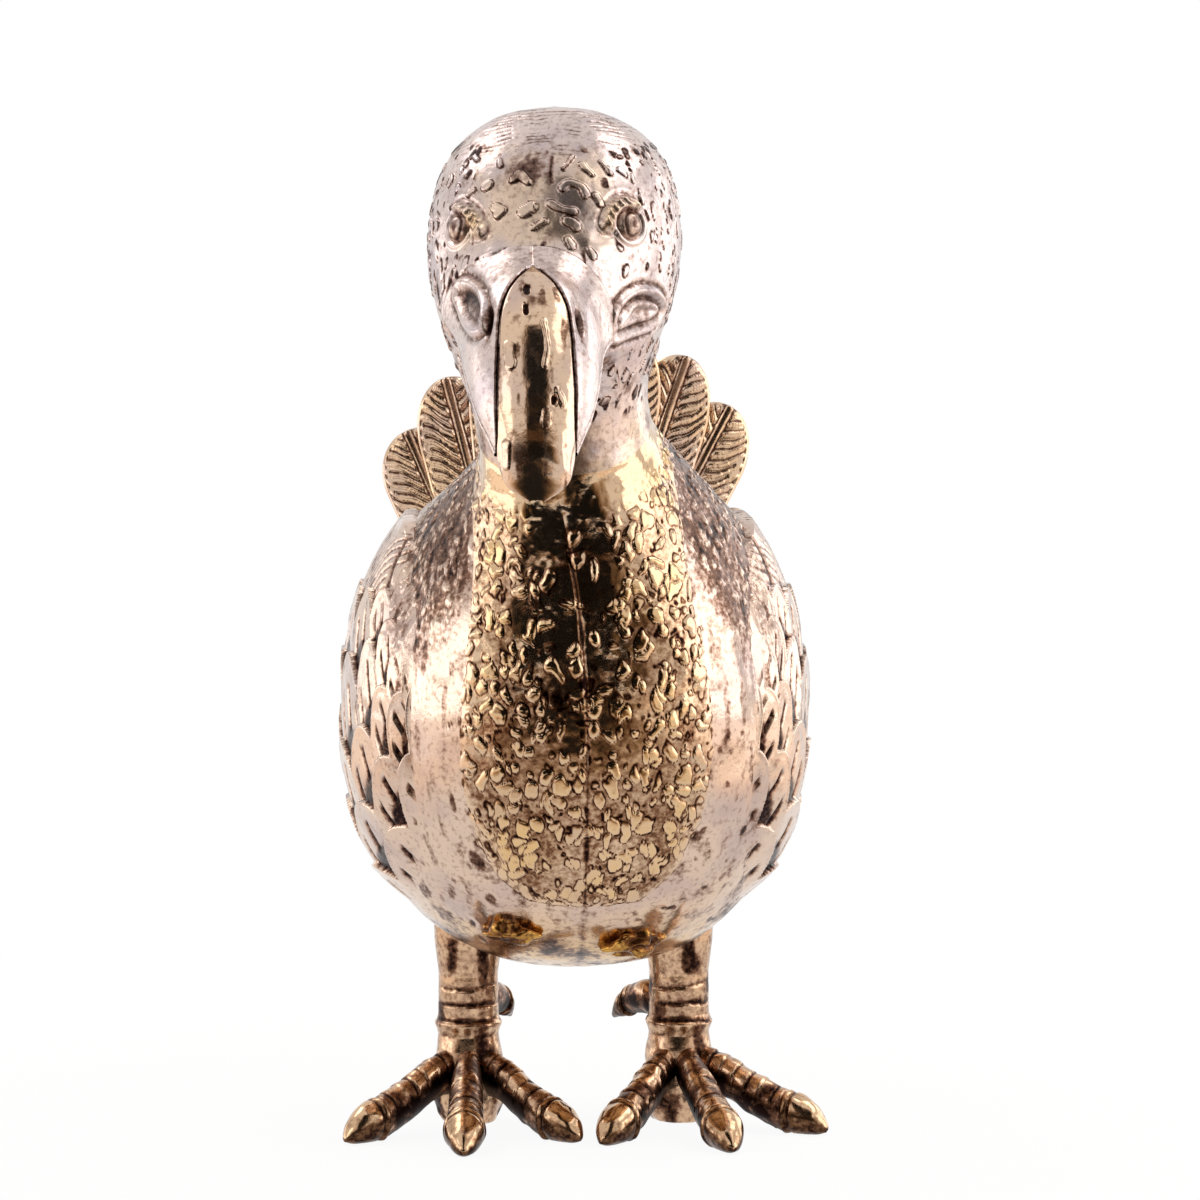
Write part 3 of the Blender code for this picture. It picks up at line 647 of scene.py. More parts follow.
def breastGround(side, hand):
    # Punched ground on the neck and breast, a thin layer over the skin. Its border dips under the skin, which
    # leaves a groove, and its marks fade out at the chin.
    look = breastLook
    border = np.array(look["border"])
    places = np.linspace(border[0, 0], border[-1, 0], look["rows"])
    start = runningMean(np.interp(places, border[:, 0], border[:, 1]), look["smoothed"])
    share = np.linspace(0, 1, look["columns"])
    collar = smoothStep(-places, -11, -10.8)[:, None]
    degrees = start[:, None] + (180 - start[:, None]) * share
    u = np.broadcast_to(places[:, None], degrees.shape)
    points, normal = skinGrid(u, np.radians(degrees), side)
    # Distances from the seam and from the border, which ends before the nape
    aside = pathLength(points[:, ::-1], 1)[:, ::-1]
    edge = np.where(start[:, None] > 1, pathLength(points, 1), 99)
    edge = np.minimum(edge, 60 * (u - border[0, 0]))
    body = smoothStep(edge, 0.2, 7.0)
    # Wide flat marks beside the seam on the neck, and smaller and closer ones elsewhere
    drift = unevenness(points, 9, 48)
    sides = smoothStep(aside + 2.5 * drift, look["wideEnd"] - 1.5, look["wideEnd"] + 1.5)
    sides = np.maximum(sides, smoothStep(-points[..., 2] + 5 * drift, -148, -136))
    wide = punchMarks(points * (1, 1, 0.85), look["wideSize"], 42, 0.45, 0.98, (0.3, 0.44), 0.3, 0.2)
    close = punchMarks(points * (1, 1, 0.8), look["markSize"], 41, 0.45, 1.0, (0.42, 0.64), 0.3, 0.3)
    marks = wide * (1 - sides) + close * sides
    chin = smoothStep(u, 9.9, 10.45)
    marks = marks * (1 - chin) * smoothStep(edge, 1.5, 6.0)
    seam = bump(aside + 0.5 * unevenness(points, 7, 9), look["seamWide"]) * (1 - chin)
    relief, streak = skinGrain(points)
    lumps = 0.12 * unevenness(points, 5, 44) + 0.05 * unevenness(points, 1.6, 45)
    out = look["markHigh"] * marks - 0.4 * seam + relief + lumps * body
    out = out * collar + (look["lift"] + look["dip"]) * body - look["dip"]
    low = smoothStep(-points[..., 2], -150, -95)
    blend = smoothStep(edge, 2.0, 14.0)
    ground = 0.92 - (0.2 + 0.14 * low) * blend * (1 - chin) + 0.2 * blend * unevenness(points, 6, 46)
    ground = ground - 0.28 * streak * (1 - blend)
    worn = ground + (1 - ground) * smoothStep(marks, 0.1, 0.4) - 0.5 * seam * (1 - chin)
    worn = worn + (0.95 - worn) * chin
    outline = smoothStep(marks, 0.0, 0.05) * (1 - smoothStep(marks, 0.1, 0.3))
    worn = worn - 0.6 * outline * (1 - chin)
    gilt = 0.25 + blend * (0.2 + 0.2 * unevenness(points, 16, 47) + 0.35 * marks)
    name = "breastGround" + hand.title()
    nodes = ["body_shell_" + hand]
    points = lifted(points, normal, out)
    gridPiece(name, points, metals["burnishedBronze"], nodes, worn, gilt, side < 0, rim=(1.2, 0, 1.2, 0))


for side, hand in hands:
    bodySkin(side, hand)
    breastGround(side, hand)
print("body and breast made")

# Beak: an arch over its two edges, parted into a middle strip and two side plates
beakForm = {
    # culmen (y, z), half width, edge (y, z)
    "sections": (
        (-104, 271, 21.5, -97, 251), (-120, 269, 20.8, -112, 244), (-137, 259, 19, -126, 235),
        (-148, 241, 16, -138, 225), (-153, 221, 11, -146, 214), (-153.2, 211.5, 8.6, -149.6, 207.5),
        (-152, 204, 2.4, -151.5, 203),
    ),
    # place along the beak and half width of the middle strip, which starts in a point below the forehead
    "strip": ((1.2, 0.0), (1.3, 2.4), (1.5, 5.2), (1.8, 8.2), (2.1, 9.8), (3.0, 10.8), (4.0, 11.0)),
    "x": -17.2, "squareness": 2.3, "stripEnd": 4.0, "rows": 260, "columns": 110, "smoothed": 17,
    "edgeRound": 1.1, "groove": 0.55, "nostril": (2.08, 40.5), "fillet": 14.0,
    # raised drops and pits on the strip: the (place, angle) path and half the width in millimetres
    "drops": (
        (((2.66, -22), (2.91, -23)), 1.6), (((4.0, -48), (4.45, -55)), 1.3), (((3.6, 9.8), (3.76, 10.2)), 1.1),
        (((3.3, 21), (3.44, 28.8)), 0.8), (((2.35, 5.5), (2.74, 8.5), (2.98, 6.5)), 0.6),
    ),
    "pits": (
        (((1.72, -4.2), (1.86, -4.2)), 0.8), (((2.1, -5.8), (2.22, -5.5)), 0.6),
        (((3.4, 17), (3.46, 18)), 0.7),
    ),
    # fold at the left corner of the mouth as (place, angle), and the line of the hollow inside it
    "gape": (
        (0.43, -67), (0.38, -56), (1.2, -45.2), (1.79, -44),
        (2.06, -49), (1.83, -60), (1.09, -70), (0.43, -67),
    ),
    "hollow": ((0.75, -60), (1.15, -56), (1.6, -53)),
}


def beakPoint(place, angle):
    # Squared arch: angle 0 is the culmen and a quarter turn either way is an edge
    row = spline(beakForm["sections"], place)
    over = squared(np.cos(angle), beakForm["squareness"])
    x = row[..., 2] * squared(np.sin(angle), beakForm["squareness"]) + beakForm["x"]
    y = row[..., 3] + (row[..., 0] - row[..., 3]) * over
    z = row[..., 4] + (row[..., 1] - row[..., 4]) * over
    return np.stack([x, y, z], axis=-1)


def beakGrid(place, angle):
    # Points and outward normals of the arch; the normal is the cross product of two small steps.
    step = 1e-3
    along = beakPoint(place + step, angle) - beakPoint(place - step, angle)
    across = beakPoint(place, angle + step) - beakPoint(place, angle - step)
    normal = np.cross(along, across)
    return beakPoint(place, angle), normal / np.linalg.norm(normal, axis=-1, keepdims=True)


def beakPath(places):
    # Smooth line on the arch through (place, angle in degrees) pairs
    fine = spline(places, np.linspace(0, len(places) - 1, 3 * len(places)))
    return beakPoint(fine[:, 0], np.radians(fine[:, 1]))


def stripAngle(places):
    # Angle of the middle strip's edge; past the strip's end the strip is the whole arch
    table = np.array(beakForm["strip"])
    half = np.interp(places, table[:, 0], table[:, 1])
    share = np.clip(half / spline(beakForm["sections"], places)[..., 2], 0, 1)
    edge = np.arcsin(share ** (beakForm["squareness"] / 2))
    return np.where(places < beakForm["stripEnd"], edge, np.pi / 2)


def filleted(points, normal, other, otherNormal):
    # Fills the inner corner where this surface meets another one, by the smooth minimum of the distances to
    # both. With r the reach, f the cosine between the normals and D the distance to the other surface less f
    # times the offset, the offset is r/4 q^2, where q solves q = 1 - D/r + (1 - f)/4 q^2 and ends at 1, where
    # they meet. D is measured again at each moved point.
    reach = beakForm["fillet"]
    spacing = 1.3
    atOnce = 1500
    flat = points.reshape(-1, 3)
    inBox = (flat > other.min(axis=0) - reach) & (flat < other.max(axis=0) + reach)
    near = np.all(inBox, axis=1).nonzero()[0]
    moved = np.zeros(len(flat))
    for some in np.array_split(near, max(1, len(near) // atOnce)):
        own = normal.reshape(-1, 3)[some]
        offset = np.zeros(len(some))
        for _ in range(3):
            at = flat[some] + offset[:, None] * own
            apart = (at**2).sum(axis=1)[:, None] + (other**2).sum(axis=1) - 2 * at @ other.T
            closest = apart.argmin(axis=1)
            towards = at - other[closest]
            height = (towards * otherNormal[closest]).sum(axis=1)
            sideways = np.sqrt(np.maximum((towards**2).sum(axis=1) - height**2, 0))
            distance = np.where(sideways > spacing, np.hypot(height, sideways - spacing), height)
            facing = np.clip((own * otherNormal[closest]).sum(axis=1), -0.9, 0.95)
            start = np.maximum(1 - (distance - facing * offset) / reach, 0)
            q = (1 - np.sqrt(np.maximum(1 - (1 - facing) * start, 0))) / ((1 - facing) / 2)
            offset = reach / 4 * np.clip(q, 0, 1) ** 2
        moved[some] = offset
    return moved.reshape(points.shape[:2])


def beakPlate(name, node, places, start, end, side):
    # A band of the arch between two angles, with edges rounded down. The strip has drop-shaped marks and
    # pits. Each side plate has a line scored beside its outer edge and a slit for the nostril, and the left
    # one a fold at the corner of the mouth.
    look = beakForm
    share = np.linspace(0, 1, look["columns"])
    angle = start[:, None] + (end - start)[:, None] * share
    place = np.broadcast_to(places[:, None], angle.shape)
    points, normal = beakGrid(place, angle)
    fromStart = pathLength(points, 1)
    fromEnd = fromStart[:, -1:] - fromStart
    if side:
        inner, outer = (fromStart, fromEnd) if side > 0 else (fromEnd, fromStart)
        hood = smoothStep(place, look["strip"][0][0] - 0.12, look["strip"][0][0] + 0.05)
        edge = np.minimum(inner + 9 * (1 - hood), outer)
        line = bump(outer - 2.2, 0.35) * smoothStep(place, 0.8, 1.4)
        slitPlace, slitAngle = look["nostril"]
        along = place - slitPlace
        slit = np.hypot(along / 0.19, (np.degrees(np.abs(angle)) - slitAngle - 12 * along) / 4.2)
        hole = bump(slit, 1.3)
        lip = bump(slit - 1.35, 0.35)
        marks = np.zeros_like(edge)
        gape, hollow = (nearPath(points, beakPath(look[key])) for key in ("gape", "hollow"))
    else:
        edge = np.minimum(fromStart, fromEnd)
        line = lip = np.zeros_like(edge)
        gape = hollow = np.full_like(edge, 99.0)
        shaky = 0.35 * unevenness(points, 2.0, 71)
        marks, hole = (
            strokes(points, [(beakPath(path), wide) for path, wide in look[key]], shaky)
            for key in ("drops", "pits")
        )
    rounded = look["edgeRound"] * (1 - np.sqrt(1 - (1 - np.clip(edge / look["edgeRound"], 0, 1)) ** 2))
    fillet = filleted(points, normal, *faceSample)
    out = -rounded - 0.45 * line - (2.2 if side else 0.7) * hole + 0.35 * lip + 0.4 * marks + fillet
    out = out + 0.12 * unevenness(points, 6, 72) + 0.05 * unevenness(points, 2, 73)
    out = out + 1.0 * bump(gape, 1.3) - 1.3 * bump(hollow, 3.2) - 0.5 * bump(gape - 2.4, 0.8)
    outline = smoothStep(marks, 0.02, 0.3) * (1 - smoothStep(marks, 0.4, 0.85))
    worn = 0.95 - 0.55 * (1 - smoothStep(edge, 0.1, 1.0)) - 0.5 * line - 0.95 * hole - 0.4 * outline
    worn = worn - (0.15 if side else 0.5) * blotches(points * (1.4, 1, 0.3), 2.6, 74, 0.15, 0.7)
    worn = worn - 0.6 * bump(hollow, 1.8) - 0.5 * bump(gape - 2.4, 0.8)
    worn = worn - 0.1 * abs(side) * smoothStep(-place, -1.6, -0.8)
    finish = (metals["satinBronze" if side else "polishedBronze"][0], "polished_bronze")
    points = lifted(points, normal, out)
    gridPiece(name, points, finish, [node], worn, 0.1 if side else 0.3, rim=(0, 0, 2, 2))


# Coarse samples of the face and of the beak, by which each finds its distance to the other: first and last
# section or place with the number of rows, then first and last angle with the number of columns
sampled = {"face": ((12.4, 16.2, 56), (96, 180, 62)), "beak": ((0.02, 3.2, 60), (-89, 89, 84))}
faceGrid, archGrid = (
    np.meshgrid(np.linspace(*rows), np.radians(np.linspace(*columns)), indexing="ij")
    for rows, columns in sampled.values()
)
faceHalves = [skinGrid(*faceGrid, side) for side in (1, -1)]
faceSample = [np.concatenate([half[k].reshape(-1, 3) for half in faceHalves]) for k in (0, 1)]
beakSample = [values.reshape(-1, 3) for values in beakGrid(*archGrid)]


def beakPlates():
    # The strip from its point to the hook, and the two side plates, which meet above the strip's point
    places = np.linspace(0, len(beakForm["sections"]) - 1, beakForm["rows"])
    strip = runningMean(stripAngle(places), beakForm["smoothed"])
    started = places > beakForm["strip"][0][0] - 0.05
    beakPlate("beakCulmen", "beak_culmen", places[started], -strip[started], strip[started], 0)
    near = places < beakForm["stripEnd"] - 0.15
    groove = beakForm["groove"] / spline(beakForm["sections"], places[near])[:, 2] * started[near]
    quarter = np.full_like(groove, np.pi / 2)
    parting = np.minimum(np.where(started[near], strip[near], 0) + groove, quarter - 0.03)
    beakPlate("beakSideRight", "beak_side_right", places[near], parting, quarter, 1)
    beakPlate("beakSideLeft", "beak_side_left", places[near], -quarter, -parting, -1)


headLook = {
    "rows": 380, "columns": 260, "markHigh": 0.7, "dashSize": 3.9, "dashHigh": 0.5,
    "eyes": {"left": (15.22, 143.0), "right": (15.26, 134.2)},
    "eyeRing": 5.4,
    # brow, gape fold, the leaf inside it and the ridge from the brow to the beak, as (section, angle) paths
    "brow": {
        "right": ((15.3, 147.5), (15.5, 145.0), (15.63, 138.8), (15.57, 132.0)),
        "left": ((15.54, 143.0), (15.48, 150.0), (15.29, 156.0), (15.18, 158.0)),
    },
    "fold": {
        "right": (
            (13.61, 146), (13.8, 147), (14.05, 144.5), (14.21, 136.6), (14.25, 126.5), (14.14, 114.3),
            (13.91, 104.6), (13.67, 104.9), (13.56, 115), (13.57, 131.2), (13.61, 146),
        ),
        "left": (
            (14.4, 153), (14.22, 159), (13.82, 155.5), (13.71, 147),
            (13.92, 142.5), (14.28, 145.6), (14.4, 153),
        ),
    },
    "leaf": {
        "right": (
            (13.8, 143.4), (13.9, 136.6), (14.03, 131.6), (13.99, 119.7),
            (13.86, 112.5), (13.78, 119.3), (13.79, 132.6), (13.8, 143.4),
        ),
        "left": ((14.16, 152), (14.06, 155), (13.95, 151), (14.06, 149), (14.16, 152)),
    },
    "nose": {"right": ((15.0, 156.4), (14.93, 153.1)), "left": ((15.09, 160), (14.95, 164.3), (14.85, 167))},
    # the dark patch and the score on the forehead
    "patch": (16.3, 177.0),
    "score": ((16.59, 174.0), (16.3, 174.6), (16.04, 174.0)),
    # raised strokes on the forehead: the half, the path and half the width in millimetres
    "strokes": (
        (-1, ((16.08, 171.4), (16.2, 174), (16.05, 177)), 1.3), (-1, ((15.92, 157), (15.98, 159.7)), 1.3),
        (-1, ((15.56, 164), (15.54, 168), (15.45, 166)), 1.1), (-1, ((15.5, 176.9), (15.6, 179.5)), 1.7),
        (1, ((15.24, 179.5), (15.35, 176.5)), 0.9), (1, ((15.65, 174), (15.56, 170.1), (15.5, 164.2)), 1.1),
        (1, ((15.93, 169), (16.0, 165.7), (15.93, 160.3), (15.78, 158.5)), 1.2),
        (1, ((15.36, 167), (15.32, 164.5), (15.26, 163)), 1.5), (1, ((15.06, 166.8), (14.96, 165.4)), 1.1),
        (1, ((14.9, 157.8), (14.81, 156)), 0.9), (1, ((16.6, 163.6), (16.3, 168.8)), 0.6),
        (1, ((16.4, 159), (16.17, 154)), 0.7), (1, ((16.46, 148), (16.2, 143.4)), 0.7),
        (-1, ((16.5, 161.3), (16.37, 163)), 0.8), (-1, ((16.57, 143), (16.5, 146)), 0.8),
        (1, ((15.75, 153), (15.62, 151)), 1.0), (-1, ((15.8, 148), (15.86, 151)), 1.0),
    ),
}


def headSkin(side, hand):
    # Skin from the collar to the crown: raised strokes on the forehead, upright dashes on the cheeks, fine
    # scored lines over the crown, a notched brow, a lid round the eye, a leaf-shaped gape fold and a fillet
    # up to the beak
    look = headLook
    last = len(skinForm["sections"]) - 1
    places = skinForm["collar"] + (last - skinForm["collar"]) * np.linspace(0, 1, look["rows"]) ** 0.92
    u, v = np.meshgrid(places, np.linspace(0, np.pi, look["columns"]), indexing="ij")
    points, normal = skinGrid(u, v, side)
    degrees = np.degrees(v)
    eyeAt, eyeOut = skinSpot(look["eyes"][hand], side)
    eyeOff = np.linalg.norm(points - eyeAt, axis=-1)
    paths = {key: skinPath(look[key][hand], side) for key in ("brow", "fold", "leaf", "nose")}
    browOff, foldOff, leafOff, noseOff = (nearPath(points, path) for path in paths.values())
    inFold = np.linalg.norm(points - paths["fold"][:-1].mean(axis=0), axis=-1)
    plain = smoothStep(eyeOff, 6.5, 8.5) * smoothStep(browOff, 2.6, 4.2) * smoothStep(foldOff, 2.2, 4)
    plain = plain * smoothStep(inFold, 7, 10) * smoothStep(u, 11.8, 12.6) * smoothStep(noseOff, 2, 4)
    front = smoothStep(degrees, 138, 152) * smoothStep(u, 14.7, 15.1) * smoothStep(-u, -17.2, -16.5)
    crown = smoothStep(u, 16.3, 17.0)
    shaky = 0.45 * unevenness(points, 2.4, 51)
    marks = strokes(points, [(skinPath(path, half), wide) for half, path, wide in look["strokes"]], shaky)
    dashes = punchMarks(points * (1.1, 1.1, 0.5), look["dashSize"], 61, 0.34, 0.97, (0.26, 0.43), 0.3)
    dashes = dashes * (1 - front) * (1 - crown) * plain
    ripple = points[..., 2] * 1.9 + 0.5 * points[..., 1] + 2.4 * unevenness(points, 7, 66)
    scores = smoothStep(np.sin(ripple * 2.2), 0.5, 0.95) * blotches(points, 4, 67, -0.15, 0.25) * crown
    middle = bump(nearPath(points, skinPath(look["score"], 1)), 0.6)
    notches = np.sin((points[..., 2] * 0.8 + side * points[..., 0] + points[..., 1] * 0.5) * 2.1)
    lid = bump(eyeOff - look["eyeRing"], 0.8)
    hump = smoothStep(-browOff, -2.6, -0.7)
    out = look["markHigh"] * marks + look["dashHigh"] * dashes - 0.2 * scores - 0.35 * middle
    out = out + (1.8 + 0.35 * notches) * hump - 0.4 * bump(browOff - 3.2, 0.7)
    out = out - 1.5 * bump(eyeOff, 5.6) + 0.9 * lid
    out = out + 1.1 * bump(foldOff, 1.1) - 0.9 * bump(inFold, 6.5) + 0.9 * bump(leafOff, 1.1)
    out = out - 0.6 * bump(foldOff - 2.2, 0.6)
    out = out + 0.2 * unevenness(points, 9, 55) + 0.08 * unevenness(points, 2.2, 56)
    out = out + 1.1 * bump(noseOff, 3.0)
    out = out * smoothStep(-u, -18.95, -18.6) * smoothStep(u, 11, 11.25)
    out = out + filleted(points, normal, *beakSample)
    out = out + breastLook["lift"] * smoothStep(-u, -12.5, -11)
    raised = np.maximum(marks, dashes)
    outline = smoothStep(raised, 0.0, 0.15) * (1 - smoothStep(raised, 0.5, 0.9))
    patch, _ = skinSpot(look["patch"], -1)
    patch = bump(np.linalg.norm((points - patch) * (0.8, 1, 1), axis=-1) + 2 * unevenness(points, 2, 58), 4.5)
    worn = 0.87 - 0.75 * outline - 0.35 * scores - 0.6 * middle
    worn = worn - 0.3 * bump(eyeOff - 4.2, 0.8) - 0.5 * bump(foldOff - 2.2, 0.7)
    worn = worn - 0.3 * bump(browOff - 3.0, 0.7) - 0.3 * bump(inFold, 5)
    worn = worn - 0.35 * hump * smoothStep(-notches, 0.2, 0.9) - 0.6 * patch
    worn = worn - 0.3 * blotches(points, 6, 57, 0.35, 0.9) + 0.04 * front * (1 - raised)
    worn = worn + 0.16 * smoothStep(raised, 0.6, 0.9) + 0.2 * bump(noseOff, 3.0) + 0.4 * lid
    gilt = 0.5 * smoothStep(-u, -12.4, -11.2) + 0.05 + 0.4 * front + 0.4 * hump
    name = "headShell" + hand.title()
    points = lifted(points, normal, out)
    gridPiece(name, points, metals["satinBronze"], ["head_shell_" + hand], worn, gilt, side < 0)
    return eyeAt, eyeOut


eyeLook = {"radius": 5.0, "sunk": 3.4, "rows": 48, "columns": 64, "iris": 0.78, "pupil": 0.26}


def eyeball(hand, at, out):
    # Ball about the outward axis, whose radius shrinks in a groove round the iris and in a hollow for the
    # pupil
    look = eyeLook
    polar, turn = ballGrid(look["rows"], look["columns"])
    oval = polar * (1 + 0.35 * np.cos(turn) ** 2)
    groove = bump(oval - look["iris"], 0.1) + bump(oval, look["pupil"])
    radius = look["radius"] * (1 - 0.05 * groove)
    first = np.cross(out, (0, 0, 1))
    first = first / np.linalg.norm(first)
    second = np.cross(out, first)
    around = np.cos(turn)[..., None] * first + np.sin(turn)[..., None] * second
    ball = np.cos(polar)[..., None] * out + np.sin(polar)[..., None] * around
    points = at - look["sunk"] * out + radius[..., None] * ball
    worn = 0.7 - 0.42 * groove
    finish = (metals["satinBronze"][0], "dark_patina")
    gridPiece("eye" + hand.title(), points, finish, ["eye_" + hand], worn, 0.35, ring=True)


for side, hand in hands:
    eyeball(hand, *headSkin(side, hand))
print("head and eyes made")

beakPlates()

# Lower beak: upright ovals along its sections, drawn in at both ends
lowerLook = {
    # centre (y, z), half width, half height
    "sections": ((-97, 238, 17, 9), (-116, 231.5, 16, 8.2), (-131, 221, 12.5, 6), (-143, 211, 6, 3.4)),
    "rows": 90, "columns": 72,
}
share = np.linspace(0, 1, lowerLook["rows"])[:, None]
fine = spline(lowerLook["sections"], share[:, 0] * (len(lowerLook["sections"]) - 1))
turn = roundTurn(lowerLook["columns"])
close = np.sqrt(1 - np.clip((share - 0.86) / 0.14, 0, 1) ** 2) * smoothStep(share, -0.001, 0.02)
x = fine[:, 2:3] * close * np.cos(turn) + beakForm["x"]
y = np.broadcast_to(fine[:, :1], x.shape)
z = fine[:, 1:2] + fine[:, 3:4] * close * np.sin(turn)
points = np.stack([x, y, z], axis=-1)
points = points + (0.15 * unevenness(points, 5, 81))[..., None] * np.array([0, 0, 1])
worn = 0.55 + 0.2 * unevenness(points, 4, 82)
finish = (metals["darkPatina"][0], "antiqued_bronze")
gridPiece("lowerBeak", points, finish, ["lower_beak"], worn, 0.3, flip=True, ring=True)
print("beak made")

wingForm = {
    # place along the skin, middle angle, half angle
    "sections": ((7.5, 84, 9), (6.9, 90, 26), (6.0, 92, 44), (4.4, 89, 50), (2.8, 82, 38), (1.4, 72, 6)),
    "rows": 275, "columns": 275, "thick": 2.8, "dip": 0.4, "edgeWide": 4.5, "frontWide": 26.0,
    # upper edges of the tiers, counted down in sevenths of the wing's height, the step at each edge, half the
    # height of the scallops in sevenths, and the number of scallops along the wing
    "tierTops": (0, 2, 3, 4, 5, 6), "tierCount": 7, "step": 1.4, "scallop": 0.26, "scallops": 8,
    # spacing of the upper tier's barbs, how far they fall to the back, and the spacing of its shafts
    "barbStep": 2.6, "barbFall": 0.9, "shaftStep": 24.0,
}


def wing(side, hand):
    # Patch of the skin raised by its thickness, whose border is rounded down into the body. Its feathers lie
    # in tiers with scalloped upper edges: the thickness falls from each upper edge to the next one. The upper
    # tier is barbed, and the others are tongues with slits.
    look = wingForm
    shares = np.linspace(0, 1, look["rows"])
    share, across = np.meshgrid(shares, np.linspace(-1, 1, look["columns"]), indexing="ij")
    fine = spline(look["sections"], shares * (len(look["sections"]) - 1))
    v = np.radians(fine[:, 1:2] + fine[:, 2:3] * across)
    u = np.broadcast_to(fine[:, :1], v.shape)
    points, normal = skinGrid(u, v, side)
    fromFront = pathLength(points, 0)
    fromTop = pathLength(points, 1)
    ends = np.minimum(fromFront / look["frontWide"], (fromFront[-1:] - fromFront) / look["edgeWide"])
    sides = np.minimum(fromTop / look["edgeWide"], (fromTop[:, -1:] - fromTop) / look["frontWide"])
    edge = np.minimum(ends, sides)
    thick = (look["thick"] + look["dip"]) * smoothStep(edge) - look["dip"]
    wobble = 0.10 * unevenness(points, 14, 94 + side)
    height = (across + 1) / 2 * look["tierCount"] + wobble
    tier = np.zeros_like(height)
    phase = np.zeros_like(height)
    aside = np.zeros_like(height)
    for number in look["tierTops"]:
        # Offset from the nearest scallop's middle, -1 to 1, and the tier's scalloped upper edge
        off = (share * look["scallops"] + 0.5 * (number % 2)) % 1 * 2 - 1
        upper = number + look["scallop"] * (2 * off**2 - 1) * (number > 0)
        inside = height >= upper
        tier = np.where(inside, number, tier)
        phase = np.where(inside, height - upper, phase)
        aside = np.where(inside, off, aside)
    column = np.floor(share * look["scallops"] + 0.5 * (tier % 2))
    luck = chance(np.stack([tier, column, tier * 0 + side], axis=-1), 91)
    tall = np.where(tier > 0, 1.0, look["tierTops"][1])
    tongue = np.minimum(tier, 1)
    slits = smoothStep(np.cos((aside + 0.25 * luck) * 2 * np.pi * 1.35), 0.45, 0.9)
    slits = slits * smoothStep(-np.abs(aside), -0.85, -0.7) * smoothStep(phase, 0.3, 0.42)
    slits = slits * smoothStep(-phase, -1.0, -0.85) * tongue * smoothStep(fromFront, 12, 26)
    shaft = bump((fromFront - 0.3 * fromTop) % look["shaftStep"] - look["shaftStep"] / 2, 0.8) * (1 - tongue)
    barb = bump((fromTop - look["barbFall"] * fromFront) % look["barbStep"] - look["barbStep"] / 2, 0.45)
    barb = barb * (1 - tongue) * (1 - shaft) * blotches(points * (1, 1, 0.6), 7, 96, -0.55, -0.2)
    lip = bump(phase - 0.05, 0.06)
    dome = 1 - aside**2 * tongue
    relief = look["step"] * (0.5 - phase / tall) + 0.45 * dome - 0.9 * slits
    relief = relief - 0.5 * shaft - 0.35 * barb + 0.2 * lip
    # The tiers fade out at the front, where the wing is too low for them, and small scales take their place.
    calm = smoothStep(edge, 0.1, 0.4) * smoothStep(fromTop[:, -1:] / look["tierCount"], 6, 12)
    above = smoothStep(-across, -0.4, 0.1)
    scales = smallScales(points) * (1 - calm) * above
    out = thick + calm * relief + 0.1 * unevenness(points, 3, 97) + bodyLook["scaleHigh"] * scales
    hollow = smoothStep(phase / tall, 0.75, 1.02) * (0.35 + 0.65 * tongue)
    worn = 0.95 - calm * (0.85 * hollow + 0.85 * slits + 0.6 * shaft + 0.5 * barb)
    worn = worn - 0.3 * blotches(points, 5, 98, 0.3, 0.9) - 0.3 * (1 - calm) * (1 - scales) * above
    name = "wing" + hand.title()
    points = lifted(points, normal, out)
    finish = metals["antiquedBronze"]
    gridPiece(name, points, finish, ["wing_" + hand], worn, 0.28, side > 0, rim=(1.5, 1.5, 1.5, 1.5))


for side, hand in hands:
    wing(side, hand)
print("wings made")

tailForm = {
    "tips": ((-50, 209), (-37, 227), (-17, 239), (5, 244), (25, 242), (44, 234), (59, 217)),
    "footSpread": 9.6, "footZ": 161.0, "sheetY": 106.0, "lean": 0.55, "curl": 0.0055, "layer": 3.2,
    "thick": 2.0, "dome": 0.7, "bend": 1.6, "half": 14.5, "tang": 2.4,
    "tangShare": 0.12, "bladeShare": 0.36, "tipShare": 0.32,
    "rows": 150, "columns": 164, "barbStep": 3.9, "barbWide": 0.45, "shaftWide": 1.6,
    # the socket, and its feathers: length and width, and millimetres to a radian round it and along it
    "rootCentre": (0, 111, 163), "rootRadii": (37, 14, 11), "rootRows": 84, "rootColumns": 168,
    "rootFeather": (7.0, 6.0), "rootRound": 14, "rootAlong": 30,
}


